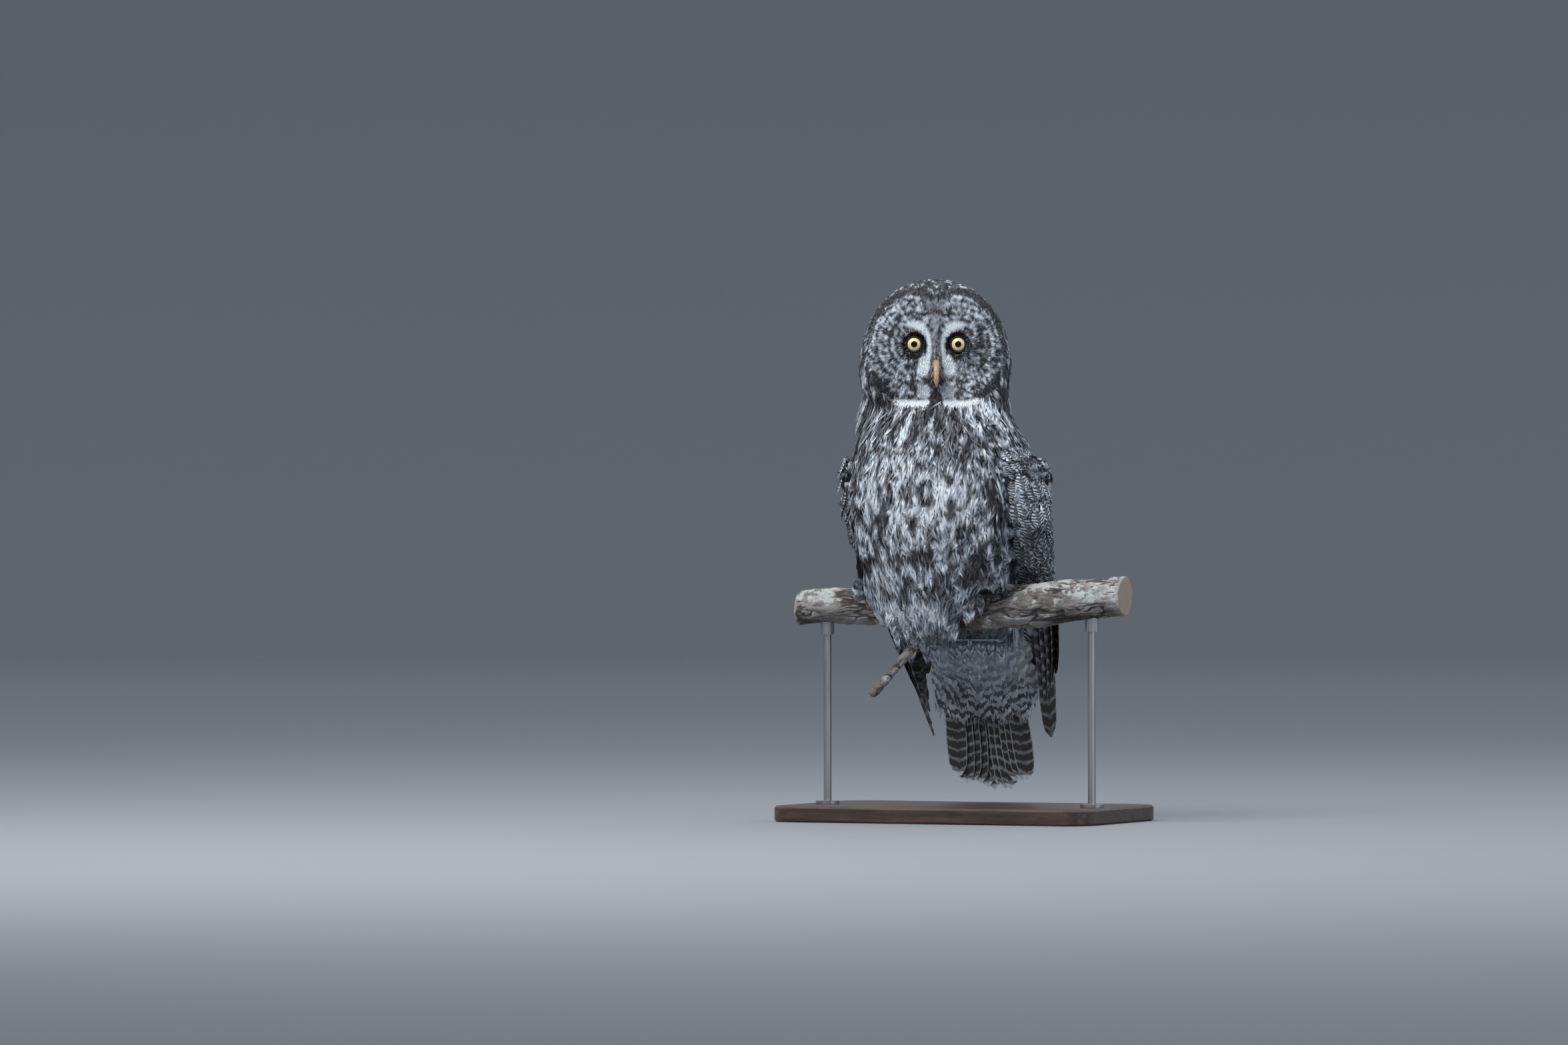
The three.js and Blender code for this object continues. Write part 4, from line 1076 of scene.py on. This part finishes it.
def addLid(side):
    # a thin dark rim of bare skin round the eye, its outer part drawn in
    label = sideName(side)
    low, high = (np.array(corner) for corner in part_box("eyelid_" + label))
    mesh = remade(["eyelid_" + label], 0.35 * mm, 4)
    places, _ = meshArrays(mesh)
    middle = (low + high) / 2
    off = places - middle
    flat = off - (off @ towardCamera)[:, None] * towardCamera
    wide = np.linalg.norm(flat, axis=1)
    edge = eyes["lid"] * mm
    drawn = np.where(wide > edge, edge + (wide - edge) * 0.3, wide)
    mesh.vertices.foreach_set("co", (places + flat * (drawn / wide - 1)[:, None]).ravel())
    kit = Kit("lidSkin_" + label)
    wrinkle = kit.noise(1800.0, 2.0)
    kit.bump(wrinkle, 0.4, 0.0004)
    colour = kit.mix(wrinkle, (0.008, 0.008, 0.009), (0.03, 0.03, 0.032))
    piece = linked("owlLid_" + label, mesh, kit.finish(Base_Color=colour, Roughness=0.5))
    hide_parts("eyelid_" + label)
    return piece


def addHorn(node, material, smooths, hull=False):
    piece = linked("owl_" + node, remade([node], 0.4 * mm, smooths, hull=hull), material)
    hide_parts(node)
    return piece


def addBill():
    kit = Kit("billHorn")
    growth = kit.noise(700.0, 4.0, kit.place((1, 1, 0.25)))
    tip = kit.add("ShaderNodeSeparateXYZ", {}, [kit.coords()], out=2).step(0.556, 0.575)
    horn = kit.mix(growth, (0.46, 0.27, 0.11), (0.62, 0.41, 0.20))
    colour = kit.mix(tip, horn, kit.mix(growth, (0.30, 0.20, 0.11), (0.42, 0.30, 0.18)))
    kit.bump(growth, 0.25, 0.0005)
    material = kit.finish(Base_Color=colour, Roughness=0.4)
    return [addHorn("bill_upper", material, 4, hull=True), addHorn("bill_lower", material, 4)]


def addClaws():
    kit = Kit("clawHorn")
    growth = kit.noise(900.0, 3.0)
    kit.bump(growth, 0.2, 0.0004)
    colour = kit.mix(growth, (0.012, 0.011, 0.010), (0.045, 0.04, 0.036))
    material = kit.finish(Base_Color=colour, Roughness=0.32, Coat_Weight=0.3, Coat_Roughness=0.15)
    nodes = sorted(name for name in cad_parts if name.startswith("claw_"))
    return [addHorn(node, material, 3) for node in nodes]


# Perch: furrowed, cracked bark with pale lichen on its upper side. Its furrows are painted near black, partly
# the bark's own dark and partly painted shade in the hollows
bark = {
    "voxel": 1.5 * mm, "plates": 0.0022, "lumps": 0.0026, "grain": 0.00045, "grey": (0.30, 0.29, 0.285),
    "brown": (0.13, 0.115, 0.105), "crack": (0.025, 0.02, 0.018), "fibre": (0.30, 0.29, 0.28),
    "lichen": ((0.50, 0.54, 0.53), (0.38, 0.42, 0.40)), "endGrain": ((0.42, 0.36, 0.28), (0.24, 0.19, 0.14)),
}


def addPerch():
    mesh = remade(["perch_branch"], bark["voxel"], 6)
    places, normals = meshArrays(mesh)
    shift = np.empty(len(places))
    ends = np.minimum(places[:, 0] - places[:, 0].min(), places[:, 0].max() - places[:, 0])
    inner = smoothstep(ends, 0.001, 0.006)
    for n, (x, y, z) in enumerate(places.tolist()):
        long = Vector((x * 17, y * 62, z * 62))
        lump = noise.noise(Vector((x * 22, y * 30, z * 30)))
        pulls = (long * 0.9, long * 0.8 + Vector((9, 0, 0)), long * 2.3)
        pulled = Vector([noise.noise(place) for place in pulls]) * 0.9
        plate = noise.voronoi(long + pulled)[0]
        small = noise.voronoi(long * 2.6 + pulled * 1.5)[0]
        crack = min(1.0, (plate[1] - plate[0]) * 6.0) * 0.75 + min(1.0, (small[1] - small[0]) * 5.0) * 0.25
        grain = noise.noise(Vector((x * 120, y * 420, z * 420)))
        shift[n] = bark["lumps"] * lump + bark["plates"] * (crack - 0.8) + bark["grain"] * grain
    feet = np.abs(np.abs(places[:, 0]) - 0.031) < 0.03
    shift = np.where(feet, np.minimum(shift, 0.0), shift) * inner
    mesh.vertices.foreach_set("co", (places + normals * shift[:, None]).ravel())
    cut = mesh.attributes.new("cut", "FLOAT", "POINT")
    cut.data.foreach_set("value", smoothstep(ends, 0.0032, 0.0012) * (np.abs(normals[:, 0]) > 0.6))
    depth = mesh.attributes.new("depth", "FLOAT", "POINT")
    depth.data.foreach_set("value", np.clip(0.5 + shift / 0.004, 0, 1))
    kit = Kit("bark")
    stretched = kit.place((0.35, 1, 1))
    fibre = kit.noise(420.0, 5.0, stretched)
    cloud = kit.noise(28.0, 4.0)
    patches = kit.noise(55.0, 5.0, rough=0.7)
    hollow = kit.attribute("depth", 2)
    ground = kit.mix(cloud.step(0.35, 0.65), bark["brown"], bark["grey"])
    # the deeper the bark, the nearer black: partly the furrows' own dark, partly painted shade
    ground = kit.mix((1 - hollow.step(0.2, 0.5)) * 0.85, ground, bark["crack"])
    ground = kit.mix((fibre - 0.5) * 0.8, ground, bark["fibre"])
    aloft = kit.add("ShaderNodeSeparateXYZ", {}, [kit.coords()], out=2).step(0.268, 0.292)
    growth = (patches + aloft * 0.12).step(0.56, 0.61) * hollow.step(0.3, 0.55)
    colour = kit.mix(growth * 0.9, ground, kit.mix(fibre, *bark["lichen"]))
    flat = kit.add("ShaderNodeVectorMath", {"operation": "MULTIPLY"}, [kit.coords(), (0.0, 1.0, 1.0)])
    radius = kit.add("ShaderNodeVectorMath", {"operation": "DISTANCE"}, [flat, (0.0, 0.0, 0.272)], out=1)
    years = ((radius + cloud * 0.002) * 3600.0).op("SINE") * 0.5 + 0.5
    endGrain = kit.mix(years * 0.6 + (fibre - 0.5), *bark["endGrain"])
    colour = kit.mix(kit.attribute("cut", 2), colour, endGrain)
    kit.bump(fibre + hollow * 0.5 + patches * 0.4, 0.6, 0.0012)
    piece = linked("perchBark", mesh, kit.finish(Base_Color=colour, Roughness=0.93))
    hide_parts("perch_branch")
    print("perch made:", len(mesh.vertices), "points")
    return piece


# Stand: a stained oak base and steel rods, as in the solids
stand = {
    "oak": ((0.030, 0.018, 0.011), (0.085, 0.050, 0.030)), "pore": (0.012, 0.008, 0.005),
    "steel": ((0.42, 0.42, 0.43), (0.55, 0.55, 0.56)),
}


def finishStand():
    kit = Kit("stainedOak")
    grain = kit.noise(9.0, 6.0, kit.place((1.2, 16, 16)), 0.6)
    pores = kit.noise(60.0, 3.0, kit.place((1.5, 22, 22)))
    wood = kit.mix(grain.step(0.3, 0.7), *stand["oak"])
    wood = kit.mix(pores.step(0.56, 0.64) * 0.5, wood, stand["pore"])
    kit.bump(grain * 0.4 + pores, 0.12, 0.0004)
    oak = kit.finish(Base_Color=wood, Roughness=0.42, Coat_Weight=0.25, Coat_Roughness=0.3)
    kit = Kit("brushedSteel")
    lines = kit.noise(700.0, 2.0, kit.place((1, 1, 0.05)))
    kit.bump(lines, 0.08, 0.0002)
    colour = kit.mix(lines, *stand["steel"])
    steel = kit.finish(Base_Color=colour, Metallic=1.0, Roughness=0.28 + lines * 0.15)
    for name, material in (("stand_base", oak), ("stand_rod_right", steel), ("stand_rod_left", steel)):
        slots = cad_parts[name].data.materials
        slots.clear()
        slots.append(material)


# Feet: short close down on the shanks and toes
def addFeet(material):
    mesh = remade(["leg_right", "leg_left"], 1.6 * mm, 3)
    roots, normals = scattered(mesh, "foot", lambda p, n: p[:, 2] < 0.33, 71)
    lies = np.tile(np.array([0, 0, -1.0]), (len(roots), 1))
    lies[:, 1] = np.sign(roots[:, 1]) * smoothstep(np.abs(roots[:, 1]), 0.004, 0.02) * 0.9
    tones = np.clip(0.62 + 0.18 * rng.normal(size=len(roots)), 0.2, 1)
    return coat("footDown", material, "foot", roots, normals, lies, tones, (0, 0.2, 0.3))


browns = {
    "flight": {"dark": (0.022, 0.019, 0.019), "tip": (0.16, 0.16, 0.17)},
    "tail": {"dark": (0.030, 0.026, 0.026), "tip": (0.66, 0.70, 0.76)},
}


def makeOwl():
    addCamera()
    addLights()
    addStudio()
    plumage = featherMaterial("bodyPlumage", bars=2.7)
    facePlumage = featherMaterial("facePlumage", fleck=0.35)
    wingPlumage = featherMaterial("wingPlumage", bars=6.0, cover=0.45)
    flight = featherMaterial("flightVanes", bars=11.0, cover=0.86, edge=0.5, **browns["flight"])
    tailPlumage = featherMaterial("tailVanes", bars=13.0, cover=0.93, edge=0.55, **browns["tail"])
    undertail = featherMaterial("undertail", bars=3.4, cover=0.25)
    body = addSkin()
    mesh = body.data
    onHead = [addFace(mesh, facePlumage), addBristles(facePlumage), addCrown(mesh, plumage)]
    pieces = {"body_feathers": [body, *onHead, *addBody(mesh, plumage)], "leg_feathers": [addFeet(plumage)]}
    skinTree = treeOf(mesh)
    wings = {side: [addWingCoverts(side, wingPlumage, skinTree), addFlight(side, flight)] for side in (-1, 1)}
    tailVanes = addTail(tailPlumage)
    pieces["flight_feathers"] = wings[-1] + wings[1] + [tailVanes, addTailCoverts(undertail)]
    for slot, group in pieces.items():
        for piece in group:
            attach(piece, "root")
    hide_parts("torso", "neck", "head", "leg_right", "leg_left")
    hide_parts("wing_right")
    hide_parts("wing_left")
    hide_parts("tail")
    hard = [addEye(-1), addEye(1), addLid(-1), addLid(1), *addBill(), *addClaws(), addPerch()]
    for piece in hard:
        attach(piece, "root")
    finishStand()
    print("owl made")


makeOwl()
